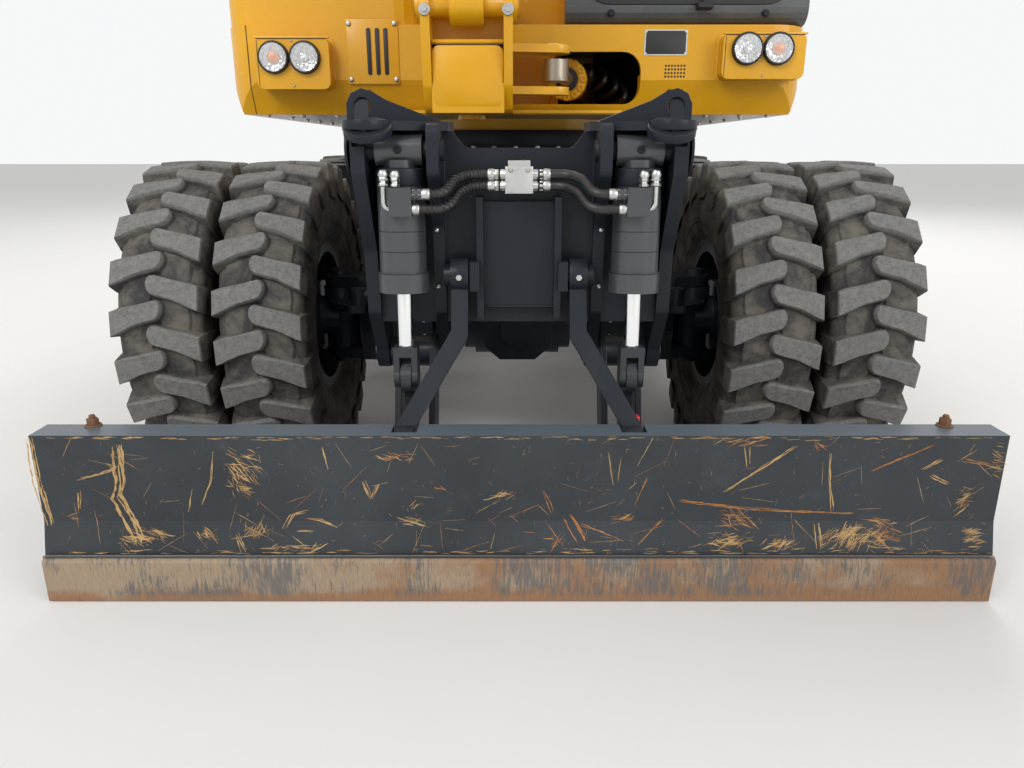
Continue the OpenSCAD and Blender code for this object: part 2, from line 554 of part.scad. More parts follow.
hose_y = mount_y0 - 61;
hose_z = [1070, 1042];
hose_r = 11;
pipe_y = hose_y - 103;     // in front of the barrels
pipe_x = [236, 262];
pipe_z = [1026, 990];
module valve_block() placed() color(bright) {
    block([-35, 35], [mount_y0 - 96, mount_y0 - 26 - seat], [1024, 1090]);
    block([-28, 28], [mount_y0 - 84, mount_y0 - 40], [1089, 1104]);
    both() for (z = hose_z) bar_x(34, 48 - seat, [hose_y, z], hose_r + 2);
}
module blade_hoses() placed() color(black) both() {
    tube(bent([[48, hose_y, hose_z[0]], [70, hose_y, hose_z[0]], [128, hose_y - 5, hose_z[0]], [160, hose_y - 50, 1058],
        [182, pipe_y, pipe_z[0]], [pipe_x[0], pipe_y, pipe_z[0]]], 45), hose_r);
    tube(bent([[48, hose_y, hose_z[1]], [70, hose_y, hose_z[1]], [118, hose_y - 5, hose_z[1]], [150, hose_y - 50, 1026],
        [174, pipe_y, pipe_z[1]], [pipe_x[1], pipe_y, pipe_z[1]]], 45), hose_r);
}

// Upper structure
hw = upper_w / 2;
house_y0 = -upper_front;
skirt_z = deck_z + deck_t + skirt_h - 7;
crease_z = deck_z + 125;     // below it the skirt slopes inwards
slope_in = 50;
house_y1 = 1184;
mid_x = -345;          // between the right housing and the boom's bay
bay_y = 590;           // front of the engine bay
bay_z = 1880;
hood_z = skirt_z + house_h + 4;
kingpost = [-kingpost_x, -kingpost_reach];
kp_r = 50;
lug_r = 96;
lug_low = [1344, 1420];
lug_high = [1690, 1756];
swing_r = 310;
swing_a = 15;
swing_eye = kingpost + swing_r * [cos(swing_a), -sin(swing_a)];
swing_foot = [330, -200];
swing_z = 1395;
swing_ram = [58, 27, 52, 30];

// Outline of the deck, its front corners rounded and its tail round the slew axis
module deck_plan(o = 0) polygon(concat(outline([[hw - o, 900, 0], [hw - o, house_y0 + o, 150 - o], [-hw + o, house_y0 + o, 150 - o],
    [-hw + o, 900, 0]], 8), [for (a = [130:-10:50]) (tail_r - o) * [cos(a), sin(a)]]));
module upper_frame() placed() color(yellow) {
    difference() {
        union() {
            up(deck_z, deck_z + deck_t) difference() {
                deck_plan();
                translate([-big, house_y1]) square([2 * big, big]);
            }
            // Skirt
            up(deck_z + deck_t - 1, skirt_z) difference() {
                deck_plan();
                deck_plan(wall_t);
                translate([-big, house_y1]) square([2 * big, big]);
            }
            // Floor under the cab, the housing and the engine bay
            up(skirt_z - 14, skirt_z) difference() {
                deck_plan(wall_t - 1);
                translate([-big, house_y1]) square([2 * big, big]);
                translate([mid_x, house_y0 - 1]) square([cab_x0 - mid_x, bay_y - house_y0 + 1]);
            }
            // Backing of the sloping band
            up(deck_z + deck_t - 2, crease_z + 20) difference() {
                deck_plan(wall_t - 1);
                deck_plan(slope_in + wall_t);
                translate([-big, house_y1]) square([2 * big, big]);
            }
            // Main girders
            for (x = [mid_x, cab_x0 - 30]) block([x, x + 30], [house_y0 + wall_t - 1, house_y1], [deck_z + deck_t - 1, skirt_z]);
            block([mid_x, cab_x0], [-420, -390], [deck_z + deck_t - 1, skirt_z + 180]);
            // Ring flange
            up(ring_z1, deck_z + 1) circle(ring_r1 - 20);
            // Swing cylinder's foot
            for (z = [[1320, 1350], [1440, 1470]]) up(z[0], z[1]) {
                translate(swing_foot) circle(58);
                polygon([swing_foot + [-58, 0], swing_foot + [58, 0], [swing_foot[0] + 58, 0], [swing_foot[0] - 58, 0]]);
            }
            block([swing_foot[0] - 58, swing_foot[0] + 58], [-30, 0], [deck_z + deck_t - 1, skirt_z - 1]);
            // Kingpost lugs on their girder box
            for (z = [lug_low, lug_high]) up(z[0], z[1]) {
                translate(kingpost) circle(lug_r);
                polygon([kingpost + [-lug_r, 0], kingpost + [lug_r, 0], [kingpost[0] + 130, house_y0 + 30], [kingpost[0] - 130, house_y0 + 30]]);
            }
            for (x = [kingpost[0] - 130, kingpost[0] + 100]) across(x, x + 30) polygon([[house_y0 - 6, deck_z + 2],
                [house_y0 - 6, lug_high[1] + 20], [house_y0 + 120, lug_high[1] + 20], [-400, skirt_z + 170], [-400, deck_z + 2]]);
            block([kingpost[0] - 130, kingpost[0] + 130], [house_y0 - 6, house_y0 + 24], [1500, lug_high[1] + 20]);
        }
        // Swing cylinder's way out through the front
        along(house_y0 - 40, house_y0 + 420) polygon(outline([[-34, lug_low[0] - 44, 30], [479, lug_low[0] - 44, 60],
            [479, 1488, 70], [-34, 1488, 40]]));
        across(-hw - 1, hw + 1) polygon([[house_y0 - 1, crease_z + 2], [house_y0 - 1, deck_z - 1], [house_y0 + slope_in, deck_z - 1]]);
        side_slope();
        for (z = [lug_low, lug_high]) up(z[0] - 1, z[1] + 1) translate(kingpost) circle(kp_r + run);
        up(ring_z1 - 1, deck_z + deck_t + 1) circle(190);
    }
    up(1310, 1480) translate(swing_foot) circle(swing_ram[3]);
}
module side_slope() both() along(house_y0 - 1, house_y1 + 700) polygon([[hw + 1, crease_z + 2], [hw + 1, deck_z - 1],
    [hw - slope_in, deck_z - 1]]);
module counterweight() placed() color(steel) difference() {
    union() {
        up(deck_z, bay_z - 60) tail_cut(0);
        up(bay_z - 61, bay_z) tail_cut(40);
    }
    side_slope();
    // Towing eye
    block([-70, 70], [1480, 1700], [1400, 1560]);
}
module tail_cut(o) intersection() {
    deck_plan(o);
    translate([-hw - 1, house_y1 + seat]) square([2 * hw + 2, 600]);
}
module shell(x, y, z, r, open_top = false) {
    difference() {
        up(z[0], z[1]) rounded(x, y, r);
        up(z[0] - 1, z[1] - wall_t) rounded([x[0] + wall_t, x[1] - wall_t], [y[0] + wall_t, y[1] - wall_t], max(2, r - wall_t));
    }
}
module rounded(x, y, r) polygon(outline([[x[0], y[0], r], [x[1], y[0], r], [x[1], y[1], r], [x[0], y[1], r]]));
door_y = [-560, 160];
door_z = [skirt_z + 70, skirt_z + house_h - 90];
side_hinge = [-hw - 9, door_y[1] + 10];
side_hinge_z = [door_z[0] + 90, door_z[1] - 150];
wall_y = [bay_y - 20, bay_y - 4];
module side_housing() placed() color(yellow) {
    // Hinge pins of its door
    for (z = side_hinge_z) {
        translate([side_hinge[0], side_hinge[1], z - 30]) cylinder(h = 30, r = 12);
        translate([side_hinge[0], side_hinge[1], z - 20]) cylinder(h = 86, r = 6);
        block([side_hinge[0], -hw + 12], [side_hinge[1] - 8, side_hinge[1] + 24], [z - 30, z]);
    }
    // Firewall and the hood's hinge pins
    block([-hw + 10, hw - 10], wall_y, [skirt_z, hood_z - 6]);
    for (x = hood_hinge_x) {
        block([x - 40, x], [wall_y[0], wall_y[1]], [hood_z - 10, hood_hinge[1] + 4]);
        block([x - 40, x], [wall_y[0], hood_hinge[0]], [hood_z + 4, hood_hinge[1] + 10]);
        bar_x(x - 40, x + 66, hood_hinge, 6);
    }
    // Right housing over tanks and tools
    difference() {
        shell([-hw + 10, mid_x], [house_y0 + 10, wall_y[0] + 1], [skirt_z, skirt_z + house_h], 120);
        across(-hw, -hw + 60) polygon(outline([[door_y[0], door_z[0], 40], [door_y[1], door_z[0], 40],
            [door_y[1], door_z[1], 40], [door_y[0], door_z[1], 40]]));
    }
    // Walls of the engine bay
    difference() {
        up(skirt_z, bay_z) rounded([-hw + 10, hw - 10], [wall_y[1] - 1, house_y1], 2);
        up(skirt_z - 1, bay_z + 1) rounded([-hw + 10 + wall_t, hw - 10 - wall_t], [wall_y[1], house_y1 - wall_t], 1);
    }
}
module side_door() placed() color(yellow) {
    g = 5;
    across(-hw + 2, -hw + 20) polygon(outline([[door_y[0] + g, door_z[0] + g, 36], [door_y[1] - g, door_z[0] + g, 36],
        [door_y[1] - g, door_z[1] - g, 36], [door_y[0] + g, door_z[1] - g, 36]]));
    difference() {
        union() for (z = side_hinge_z) {
            translate([side_hinge[0], side_hinge[1], z]) cylinder(h = 60, r = 12);
            block([side_hinge[0], -hw + 3], [door_y[1] - 50, side_hinge[1]], [z, z + 60]);
        }
        for (z = side_hinge_z) translate([side_hinge[0], side_hinge[1], z - 1]) cylinder(h = 62, r = 6 + run);
    }
}
hood_y1 = 1440;
hood_hinge = [bay_y + 14, hood_z + 18];
hood_hinge_x = [-860, -40, 780];
module hood() placed() color(yellow) {
    difference() {
        hood_skin(0);
        hood_skin(wall_t);
    }
    difference() {
        for (x = hood_hinge_x) {
            bar_x(x + 2, x + 62, hood_hinge, 12);
            block([x + 2, x + 62], [hood_hinge[0] - 12, hood_hinge[0] + 12], [hood_z - 4, hood_hinge[1]]);
        }
        for (x = hood_hinge_x) bar_x(x, x + 64, hood_hinge, 6 + run);
    }
}
module hood_skin(t) intersection() {
    across(-hw + 10 + t, hw - 10 - t) polygon(outline([[bay_y + t, bay_z + 5 - t, 0], [hood_y1 - t, bay_z + 5 - t, 0],
        [hood_y1 - 40 - t, hood_z - 130 - t, 100], [bay_y + 500, hood_z - t, 240], [bay_y + t, hood_z - t, 10]]));
    up(bay_z - 40, hood_z + 10) deck_plan(t + 8);
}
module engine() placed() color(black) {
    block([-700, 420], [bay_y + 70, house_y1 - 120], [skirt_z, bay_z - 30]);
    block([520, 960], [bay_y + 60, house_y1 - 80], [skirt_z, bay_z - 20]);
}

// Cab
cab_x1 = cab_x0 + cab_w;
cab_y0 = house_y0 + 4;
cab_y1 = cab_y0 + cab_len;
cab_z0 = skirt_z;
cab_z1 = skirt_z + cab_h;
win_z0 = cab_z0 + 82;
win_z1 = cab_z1 - 130;
cdoor_y = [cab_y0 + 130, cab_y0 + 880];
cdoor_z = [cab_z0 + 60, cab_z1 - 96];
hinge = [cab_x1 + 22, cdoor_y[1] + 26];
hinge_z = [cab_z0 + 200, cab_z0 + 720, cab_z1 - 300];
module cab_side() polygon(outline([[cab_y0, cab_z0, 60], [cab_y0 + 30, cab_z1, 130], [cab_y1, cab_z1, 110], [cab_y1, cab_z0, 30]]));
module window(a, b, r = 70) polygon(outline([[a[0], b[0], r], [a[1], b[0], r], [a[1], b[1], r], [a[0], b[1], r]]));
front_win = [cab_x0 + 76, cab_x1 - 76];
rear_win = [cab_x0 + 110, cab_x1 - 110];
rear_win_z = [cab_z0 + 780, win_z1];
side_win = [[cab_y0 + 110, cab_y0 + 930], [cab_y0 + 1010, cab_y1 - 100]];
side_win_z = [cab_z0 + 560, win_z1];
quarter = [cdoor_y[1] + 90, cab_y1 - 100];
module cab_frame() placed() color(yellow) {
    cab_body();
    // Hinge pins of the door
    for (z = hinge_z) {
        translate([hinge[0], hinge[1], z - 36]) cylinder(h = 36, r = 14);
        translate([hinge[0], hinge[1], z - 30]) cylinder(h = 108, r = 7);
        block([cab_x1 - 1, hinge[0]], [hinge[1] - 12, hinge[1] + 24], [z - 36, z]);
    }
}
module cab_body() difference() {
    across(cab_x0, cab_x1) cab_side();
    across(cab_x0 + cab_t, cab_x1 - cab_t) polygon(outline([[cab_y0 + cab_t, cab_z0 + 30, 40], [cab_y0 + 30 + cab_t, cab_z1 - 60, 100],
        [cab_y1 - cab_t, cab_z1 - 60, 90], [cab_y1 - cab_t, cab_z0 + 30, 20]]));
    along(cab_y0 - 10, cab_y0 + 110) window(front_win, [win_z0, win_z1], 90);
    along(cab_y1 - 100, cab_y1 + 10) window(rear_win, rear_win_z);
    across(cab_x0 - 10, cab_x0 + 80) for (w = side_win) window(w, side_win_z);
    across(cab_x1 - 80, cab_x1 + 10) window(quarter, side_win_z);
    across(cab_x1 - cab_t - 20, cab_x1 + 10) window(cdoor_y, cdoor_z, 80);
    // Roof window
    up(cab_z1 - 70, cab_z1 + 10) rounded([cab_x0 + 150, cab_x1 - 150], [cab_y0 + 180, cab_y0 + 700], 60);
}
pane = 6;
module cab_glass() placed() color([0.6, 0.75, 0.78, 0.4]) {
    s = seat;
    mid = cab_y0 + 34;
    along(mid, mid + pane) window(front_win + [s, -s], [win_z0 + s, win_z1 - s], 90);
    along(cab_y1 - 30, cab_y1 - 30 + pane) window(rear_win + [s, -s], rear_win_z + [s, -s]);
    across(cab_x0 + 20, cab_x0 + 20 + pane) for (w = side_win) window(w + [s, -s], side_win_z + [s, -s]);
    across(cab_x1 - 26, cab_x1 - 26 + pane) window(quarter + [s, -s], side_win_z + [s, -s]);
    up(cab_z1 - 30, cab_z1 - 30 + pane) rounded([cab_x0 + 150 + s, cab_x1 - 150 - s], [cab_y0 + 180 + s, cab_y0 + 700 - s], 60);
}
dwin_z = [[cab_z0 + 150, cab_z0 + 560], [cab_z0 + 630, cdoor_z[1] - 80]];
module cab_door() placed() color(yellow) difference() {
    union() {
        across(cab_x1 - 36, cab_x1 + 8) window(cdoor_y + [door_gap, -door_gap], cdoor_z + [door_gap, -door_gap], 76);
        for (z = hinge_z) {
            translate([hinge[0], hinge[1], z]) cylinder(h = 70, r = 14);
            block([cab_x1 + 6, hinge[0]], [cdoor_y[1] - 60, hinge[1]], [z, z + 70]);
        }
        block([cab_x1, cab_x1 + 30], [cdoor_y[0] + 30, cdoor_y[0] + 60], [cab_z0 + 560, cab_z0 + 700]);
    }
    for (w = dwin_z) across(cab_x1 - 60, cab_x1 + 60) window([cdoor_y[0] + 84, cdoor_y[1] - 84], w, 60);
    for (z = hinge_z) translate([hinge[0], hinge[1], z - 1]) cylinder(h = 72, r = 7 + run);
}
module door_glass() placed() color([0.6, 0.75, 0.78, 0.4]) for (w = dwin_z)
    across(cab_x1 - 22, cab_x1 - 22 + pane) window([cdoor_y[0] + 84 + seat, cdoor_y[1] - 84 - seat], w + [seat, -seat], 60);
seat_c = [(cab_x0 + cab_x1) / 2, cab_y0 + 880];
floor_z = cab_z0 + 30;
module seat() placed() color(black) {
    block([seat_c[0] - 180, seat_c[0] + 180], [seat_c[1] - 170, seat_c[1] + 190], [floor_z, floor_z + 320]);
    up(floor_z + 319, floor_z + 440) rounded([seat_c[0] - 240, seat_c[0] + 240], [seat_c[1] - 270, seat_c[1] + 220], 80);
    across(seat_c[0] - 230, seat_c[0] + 230) polygon(outline([[seat_c[1] + 150, floor_z + 400, 30], [seat_c[1] + 260, floor_z + 400, 30],
        [seat_c[1] + 370, floor_z + 1020, 60], [seat_c[1] + 260, floor_z + 1040, 60]]));
    for (x = [-326, 236]) block([seat_c[0] + x, seat_c[0] + x + 90], [seat_c[1] - 220, seat_c[1] + 160], [floor_z + 420, floor_z + 520]);
    for (x = [-300, 270]) block([seat_c[0] + x, seat_c[0] + x + 40], [seat_c[1] - 60, seat_c[1] + 60], [floor_z, floor_z + 421]);
}
module controls() placed() color(black) {
    // Steering column, wheel and console
    translate([seat_c[0], cab_y0 + 330, floor_z]) cylinder(h = 560, r = 45);
    translate([seat_c[0], cab_y0 + 350, floor_z + 555]) rotate([24, 0, 0]) {
        difference() {
            cylinder(h = 30, r = 190);
            translate([0, 0, -1]) cylinder(h = 32, r = 160);
        }
        for (a = [90, 210, 330]) rotate([0, 0, a]) translate([0, -14, 4]) cube([170, 28, 20]);
        cylinder(h = 40, r = 50);
    }
    for (x = [-90, 60]) block([seat_c[0] + x, seat_c[0] + x + 70], [cab_y0 + 170, cab_y0 + 290], [floor_z, floor_z + 70]);
    for (x = [-285, 285]) translate([seat_c[0] + x, seat_c[1] - 180, floor_z + 520 + seat]) {
        cylinder(h = 30, r = 34);
        cylinder(h = 190, r = 13);
        translate([0, 0, 150]) cylinder(h = 110, r = 26);
    }
    block([cab_x0 + cab_t + seat, cab_x0 + cab_t + 90], [cab_y0 + 520, cab_y0 + 1180], [floor_z, floor_z + 400]);
}

// Rails at the cab's door and on the right housing, and the mirrors
rail_r = 14;
rail_bend = 70;
module handrails() placed() color(black) {
    top = skirt_z + house_h;
    side = [cab_x1 + seat, cab_x1 + 50];
    y = cab_y0 + 74;
    tube(bent([[side[0], y, cab_z0 + 400], [side[1], y, cab_z0 + 400], [side[1], y, cab_z0 + 1050],
        [side[0], y, cab_z0 + 1050]], rail_bend / 2), rail_r);
    for (x = [-hw + 90, mid_x - 70]) tube(bent([[x, house_y0 + 200, top + seat], [x, house_y0 + 200, top + 300],
        [x, -260, top + 300], [x, -260, top + seat]], rail_bend), rail_r);
    // Mirrors on their stalks
    tube(bent([[-hw + 60, house_y0 + 200, top + seat], [-hw + 60, house_y0 + 200, top + 60], [-hw + 40, house_y0 - 60, top + 90],
        [-hw + 40, house_y0 - 60, top + 240]], rail_bend), rail_r);
    tube(bent([[cab_x1 - 110, cab_y0 + 150, cab_z1 + seat], [cab_x1 - 110, cab_y0 + 150, cab_z1 + 50], [cab_x1 + 40, cab_y0 - 60, cab_z1 - 40],
        [cab_x1 + 40, cab_y0 - 60, cab_z1 - 420]], rail_bend), rail_r);
    block([-hw - 50, -hw + 130], [house_y0 - 100, house_y0 - 60], [top + 10, top + 280]);
    block([cab_x1 - 30, cab_x1 + 100], [cab_y0 - 100, cab_y0 - 60], [cab_z1 - 620, cab_z1 - 340]);
}
module lamps() placed() color(yellow) {
    // Lamp boxes on the front corners and working lamps
    for (b = [[-982, -704, 1348, 1531, -912, -795, 1460], [772, 1083, 1384, 1545, 862, 978, 1490]]) {
        difference() {
            along(house_y0 - 70, house_y0 - seat) window([b[0], b[1]], [b[2], b[3]], 26);
            for (x = [b[4], b[5]]) translate([x, house_y0 - 58, b[6]]) rotate([90, 0, 0]) cylinder(h = 40, r = 52);
        }
        for (x = [b[4], b[5]]) translate([x, house_y0 - 58, b[6]]) rotate([90, 0, 0]) cylinder(h = 20, r = 48);
    }
    for (x = [cab_x0 + 120, cab_x1 - 220]) block([x, x + 110], [cab_y0 + 200, cab_y0 + 270], [cab_z1 + seat, cab_z1 + 90]);
}

// Swing bracket
foot = [-1290, 1960];
foot_r = 45;
boom_ram_foot = [-1420, 1580];
boom_ram = [66, 36, 62, 35];
ear_x = boom_w / 2 + side_gap;
bracket_z0 = 1248;
module swing_bracket() placed() color(yellow) translate([kingpost[0], 0, 0]) {
    difference() {
        union() {
            both() across(ear_x, ear_x + 30) polygon(outline([[-1246, bracket_z0, 0], [-1400, bracket_z0, 40], [-1444, 1330, 60],
                [-1484, 1560, 60], [-1470, 1640, 60], [-1386, 1900, 60], [foot[0] - 92, foot[1] + 60, 50], [foot[0] - 20, foot[1] + 100, 60],
                [foot[0] + 70, foot[1] + 80, 60], [-1240, 1840, 30], [-1246, 1800, 0]], 6));
            up(bracket_z0, lug_low[0] - seat) bracket_plan(-1440);
            up(lug_high[1] + seat, 1828) bracket_plan(-1330);
            block([-ear_x - 1, ear_x + 1], [kingpost[1] - lug_r - 56, kingpost[1] - lug_r - 12], [lug_low[0] - 10, lug_high[1] + 40]);
            // Fork lug for the swing cylinder
            for (z = [[1314, 1340], [1450, 1476]]) up(z[0], z[1]) {
                polygon([[ear_x, -1250], [ear_x, -1350], swing_local + [0, -50], swing_local + [0, 50]]);
                translate(swing_local) circle(50);
            }
            both() bar_x(ear_x + 20, ear_x + 44, boom_ram_foot, 52);
            both() bar_x(ear_x + 20, ear_x + 44, foot, 66);
        }
        bar_x(-big, big, boom_ram_foot, boom_ram[3] - 1);
    }
    // Kingpost pins, the boom's foot pin and its cylinder's foot pin
    for (z = [[bracket_z0 - 14, lug_low[1] + 30], [lug_high[0] - 30, 1850]]) up(z[0], z[1]) translate([0, kingpost[1]]) circle(kp_r);
    bar_x(-ear_x - 50, ear_x + 50, foot, foot_r);
    bar_x(-ear_x - 50, ear_x + 50, boom_ram_foot, boom_ram[3]);
}
swing_local = [swing_eye[0] - kingpost[0], swing_eye[1]];
module bracket_plan(y) {
    translate([0, kingpost[1]]) circle(98);
    polygon([[-98, kingpost[1]], [98, kingpost[1]], [ear_x + 1, -1250], [ear_x + 1, y], [-ear_x - 1, y], [-ear_x - 1, -1250]]);
}
// The swing cylinder lies flat: +Z of the ram is laid from its foot to its eye
module flat_ram() multmatrix([[0, swing_u[1], swing_u[0], swing_foot[0]], [0, -swing_u[0], swing_u[1], swing_foot[1]],
    [1, 0, 0, swing_z], [0, 0, 0, 1]]) children();
swing_u = unit(swing_eye - swing_foot);
swing_len = norm(swing_eye - swing_foot);
swing_min = 838;
module swing_barrel() placed() color(yellow) flat_ram() ram_barrel([0, 0], [0, 1], 0, swing_ram, swing_min - 120, 86);
module swing_rod() placed() color(bright) flat_ram() ram_rod([0, 0], [0, swing_len], 0, swing_ram, swing_min - 100, 70);

// Boom, arm and bucket in their own planes
function boom_pt(p) = on_link(foot, boom_rest, p);
arm_dir = boom_rest - arm_rest;
arm_foot = boom_pt([boom_len, 0]);
function arm_pt(p) = on_link(arm_foot, arm_dir, p);
boom_ram_eye = [1400, 215];
arm_ram_foot = [2450, 690];
arm_ram_eye = [-400, 90];
arm_ram = [60, 33, 58, 32];
arm_slot = 54;         // half width of the slot in the arm's tail
ear_t = 28;
boom_ear = 60;         // inner faces of the ears, from the middle
arm_ear = 68;
bucket_ear = 64;
bucket_ram_foot = [80, 300];
bucket_ram = [54, 30, 54, 30];
rocker_l = 380;
rocker_a = 40;
rocker_x = arm_len - 420;
rocker_end = [rocker_x, 0] + rocker_l * [cos(rocker_a), sin(rocker_a)];
bucket_lug = [arm_len, 0] + rocker_l * [cos(rocker_a), sin(rocker_a)];

module boom() placed() color(yellow) on_pin(foot, boom_rest, kingpost[0]) {
    t = boom_len;
    difference() {
        union() {
            difference() {
                across(-boom_w / 2, boom_w / 2) polygon(outline([[-70, -90, 90], [120, -70, 200], [1250, 322, 500],
                    [1700, 338, 400], [t - 60, -105, 90], [t + 105, -60, 90], [t + 95, 100, 80], [t - 330, 170, 200],
                    [1640, 780, 500], [1180, 730, 400], [-30, 110, 90]], 8));
                // Pocket for the raised cylinder
                across(-boom_ram[0] - side_gap, boom_ram[0] + side_gap) polygon([[-200, -400], [-200, -158], [120, -48],
                    [770, 174], [1330, 360], [1350, 388], [1490, 388], [1500, 300], [1500, -400]]);
            }
            both() across(boom_ear, boom_ear + ear_t) strap([1400, 420], boom_ram_eye, 150, 60);
            both() across(arm_ear, arm_ear + ear_t) strap([2450, 500], arm_ram_foot, 170, 62);
        }
        across(-arm_w / 2 - side_gap, arm_w / 2 + side_gap) polygon([[t - 360, -400], [t + 300, -400], [t + 300, 400], [t - 360, 400]]);
        bar_x(-boom_w, boom_w, [0, 0], foot_r + run);
    }
    both() bar_x(boom_w / 2 - 1, boom_w / 2 + 22, [t, 0], 72);
    bar_x(-boom_w / 2 - 30, boom_w / 2 + 30, [t, 0], 45);
    both() bar_x(boom_ear + ear_t - 1, boom_ear + ear_t + 14, boom_ram_eye, 52);
    bar_x(-arm_ear - ear_t - 10, arm_ear + ear_t + 10, arm_ram_foot, arm_ram[3]);
}
boom_min = 1220;
module boom_barrel() placed() color(yellow) ram_barrel(boom_ram_foot, boom_pt(boom_ram_eye), kingpost[0], boom_ram,
    boom_min - 120, 110);
module boom_rod() placed() color(bright) ram_rod(boom_ram_foot, boom_pt(boom_ram_eye), kingpost[0], boom_ram,
    boom_min - 100, 2 * (boom_ear - side_gap));

module arm() placed() color(yellow) on_pin(arm_foot, arm_dir, kingpost[0]) {
    difference() {
        union() {
            across(-arm_w / 2, arm_w / 2) polygon(outline([[-40, -120, 100], [300, -170, 200], [arm_len - 40, -84, 70], [arm_len + 84, -40, 70],
                [arm_len + 84, 70, 70], [arm_len - 200, 84, 100], [arm_len - 800, 100, 150], [300, 190, 200],
                [arm_ram_eye[0] + 20, arm_ram_eye[1] + 62, 50],
                [arm_ram_eye[0] - 62, arm_ram_eye[1] + 40, 50], [arm_ram_eye[0] - 50, arm_ram_eye[1] - 52, 50], [-180, -60, 100]], 8));
            both() across(bucket_ear, bucket_ear + ear_t) strap([150, 150], bucket_ram_foot, 150, 58);
        }
        // Slot for the arm cylinder's eye
        across(-arm_slot, arm_slot) polygon([[-600, -200], [-210, -200], [-210, 400], [-600, 400]]);
        bar_x(-arm_w, arm_w, [0, 0], 45 + run);
    }
    both() bar_x(arm_w / 2 - 1, arm_w / 2 + 8, arm_ram_eye, 46);
    bar_x(-140, 140, [rocker_x, 0], 36);
    bar_x(-bucket_ear - ear_t - 6, bucket_ear + ear_t + 6, bucket_ram_foot, bucket_ram[3]);
    bar_x(-140, 140, [arm_len, 0], 38);
}
arm_min = 1152;
arm_ram_a = boom_pt(arm_ram_foot);
arm_ram_b = arm_pt(arm_ram_eye);
module arm_barrel() placed() color(yellow) ram_barrel(arm_ram_a, arm_ram_b, kingpost[0], arm_ram, arm_min - 120,
    2 * (arm_ear - side_gap));
module arm_rod() placed() color(bright) ram_rod(arm_ram_a, arm_ram_b, kingpost[0], arm_ram, arm_min - 100, 2 * (arm_slot - side_gap));
bucket_min = 1072;
bucket_ram_a = arm_pt(bucket_ram_foot);
bucket_ram_b = arm_pt(rocker_end);
module bucket_barrel() placed() color(yellow) ram_barrel(bucket_ram_a, bucket_ram_b, kingpost[0], bucket_ram,
    bucket_min - 120, 2 * (bucket_ear - side_gap));
module bucket_rod() placed() color(bright) ram_rod(bucket_ram_a, bucket_ram_b, kingpost[0], bucket_ram, bucket_min - 100, 74);

module rocker() placed() color(steel) on_pin(arm_foot, arm_dir, kingpost[0]) both() difference() {
    union() {
        across(arm_w / 2 + side_gap, arm_w / 2 + 28) strap([rocker_x, 0], rocker_end, 66, 58);
        bar_x(arm_w / 2 - 48, arm_w / 2 + 40, rocker_end, 30);
    }
    bar_x(0, arm_w, [rocker_x, 0], 36 + run);
}
module bucket_link() placed() color(steel) on_pin(arm_foot, arm_dir, kingpost[0]) difference() {
    union() {
        both() across(44, arm_w / 2 - 1) strap(rocker_end, bucket_lug, 50, 50);
        across(-arm_w / 2 + 1, arm_w / 2 - 1) strap(rocker_end + [170, 0], bucket_lug, 42, 50);
    }
    bar_x(-arm_w, arm_w, rocker_end, 30 + run);
    bar_x(-arm_w, arm_w, bucket_lug, 30 + run);
}
// The bucket about its own pin: teeth along the first axis, mouth below it
bucket_dir = arm_dir + rocker_a - 135;
lug_in = rocker_l * [cos(135), sin(135)];
lug_eye = 52;
function bucket_skin(t) = outline([[bucket_r - 120 - t, t - 4, 10], [bucket_r - 130 - t, 30 + t, 10], [bucket_r - 260 - t, 380 - t, 260],
    [bucket_r - 700, 660 - t, 330 - t], [150 + t, 560 - t, 260 - t], [74 + t, 200, 130], [96 + t, 56 + t, 20]], 8);
module bucket() placed() color(steel) on_pin(arm_pt([arm_len, 0]), bucket_dir, kingpost[0]) {
    w = bucket_w / 2;
    wall = 26;
    difference() {
        union() {
            difference() {
                across(-w, w) polygon(bucket_skin(0));
                across(wall - w, w - wall) polygon(bucket_skin(wall));
                across(wall - w, w - wall) polygon([[124, -200], [bucket_r - 150, -200], [bucket_r - 170, 120], [150, 120]]);
            }
            // Hanger ears and their lug
            both() across(arm_w / 2 + side_gap, arm_w / 2 + 36) {
                polygon(outline([[60, -76, 60], [130, 60, 40], [120, 500, 30], [40, 500, 60], [lug_in[0] + 30, lug_in[1] + 46, 30],
                    [lug_in[0] - 30, lug_in[1] - 36, 30], [-76, -60, 60]], 8));
                translate(lug_in) circle(lug_eye);
            }
        }
        bar_x(-arm_w, arm_w, [0, 0], 38 + run);
    }
    bar_x(-arm_w / 2 - 44, arm_w / 2 + 44, lug_in, 30);
    // Teeth
    for (i = [0:teeth - 1]) let (x = -w + 60 + i * (bucket_w - 120) / (teeth - 1))
        across(x - 34, x + 34) polygon([[bucket_r - 200, 20], [bucket_r - 200, -22], [bucket_r, 6], [bucket_r, 14], [bucket_r - 160, 44]]);
}

// Origin from the rearmost and the foremost points
origin_y = -(max(tail_r, chassis_y1 + tow_l) + arm_pt(bucket_lug)[0] - lug_eye) / 2;

chassis();
blade_mount();
slew_ring();
steps();
front_axle();
rear_axle();
knuckle_left();
knuckle_right();
steering_rod();
tyres_front_left();
tyres_front_right();
tyres_rear_left();
tyres_rear_right();
rims_front_left();
rims_front_right();
rims_rear_left();
rims_rear_right();
blade_arms();
blade_links();
blade();
cutting_edge();
blade_barrels();
blade_rods();
valve_block();
blade_hoses();
upper_frame();
counterweight();
side_housing();
hood();
side_door();
engine();
cab_frame();
cab_door();
cab_glass();
door_glass();
seat();
controls();
handrails();
lamps();
swing_bracket();
swing_barrel();
swing_rod();
boom();
boom_barrel();
boom_rod();
arm();
arm_barrel();
arm_rod();
rocker();
bucket_link();
bucket_barrel();
bucket_rod();
bucket();
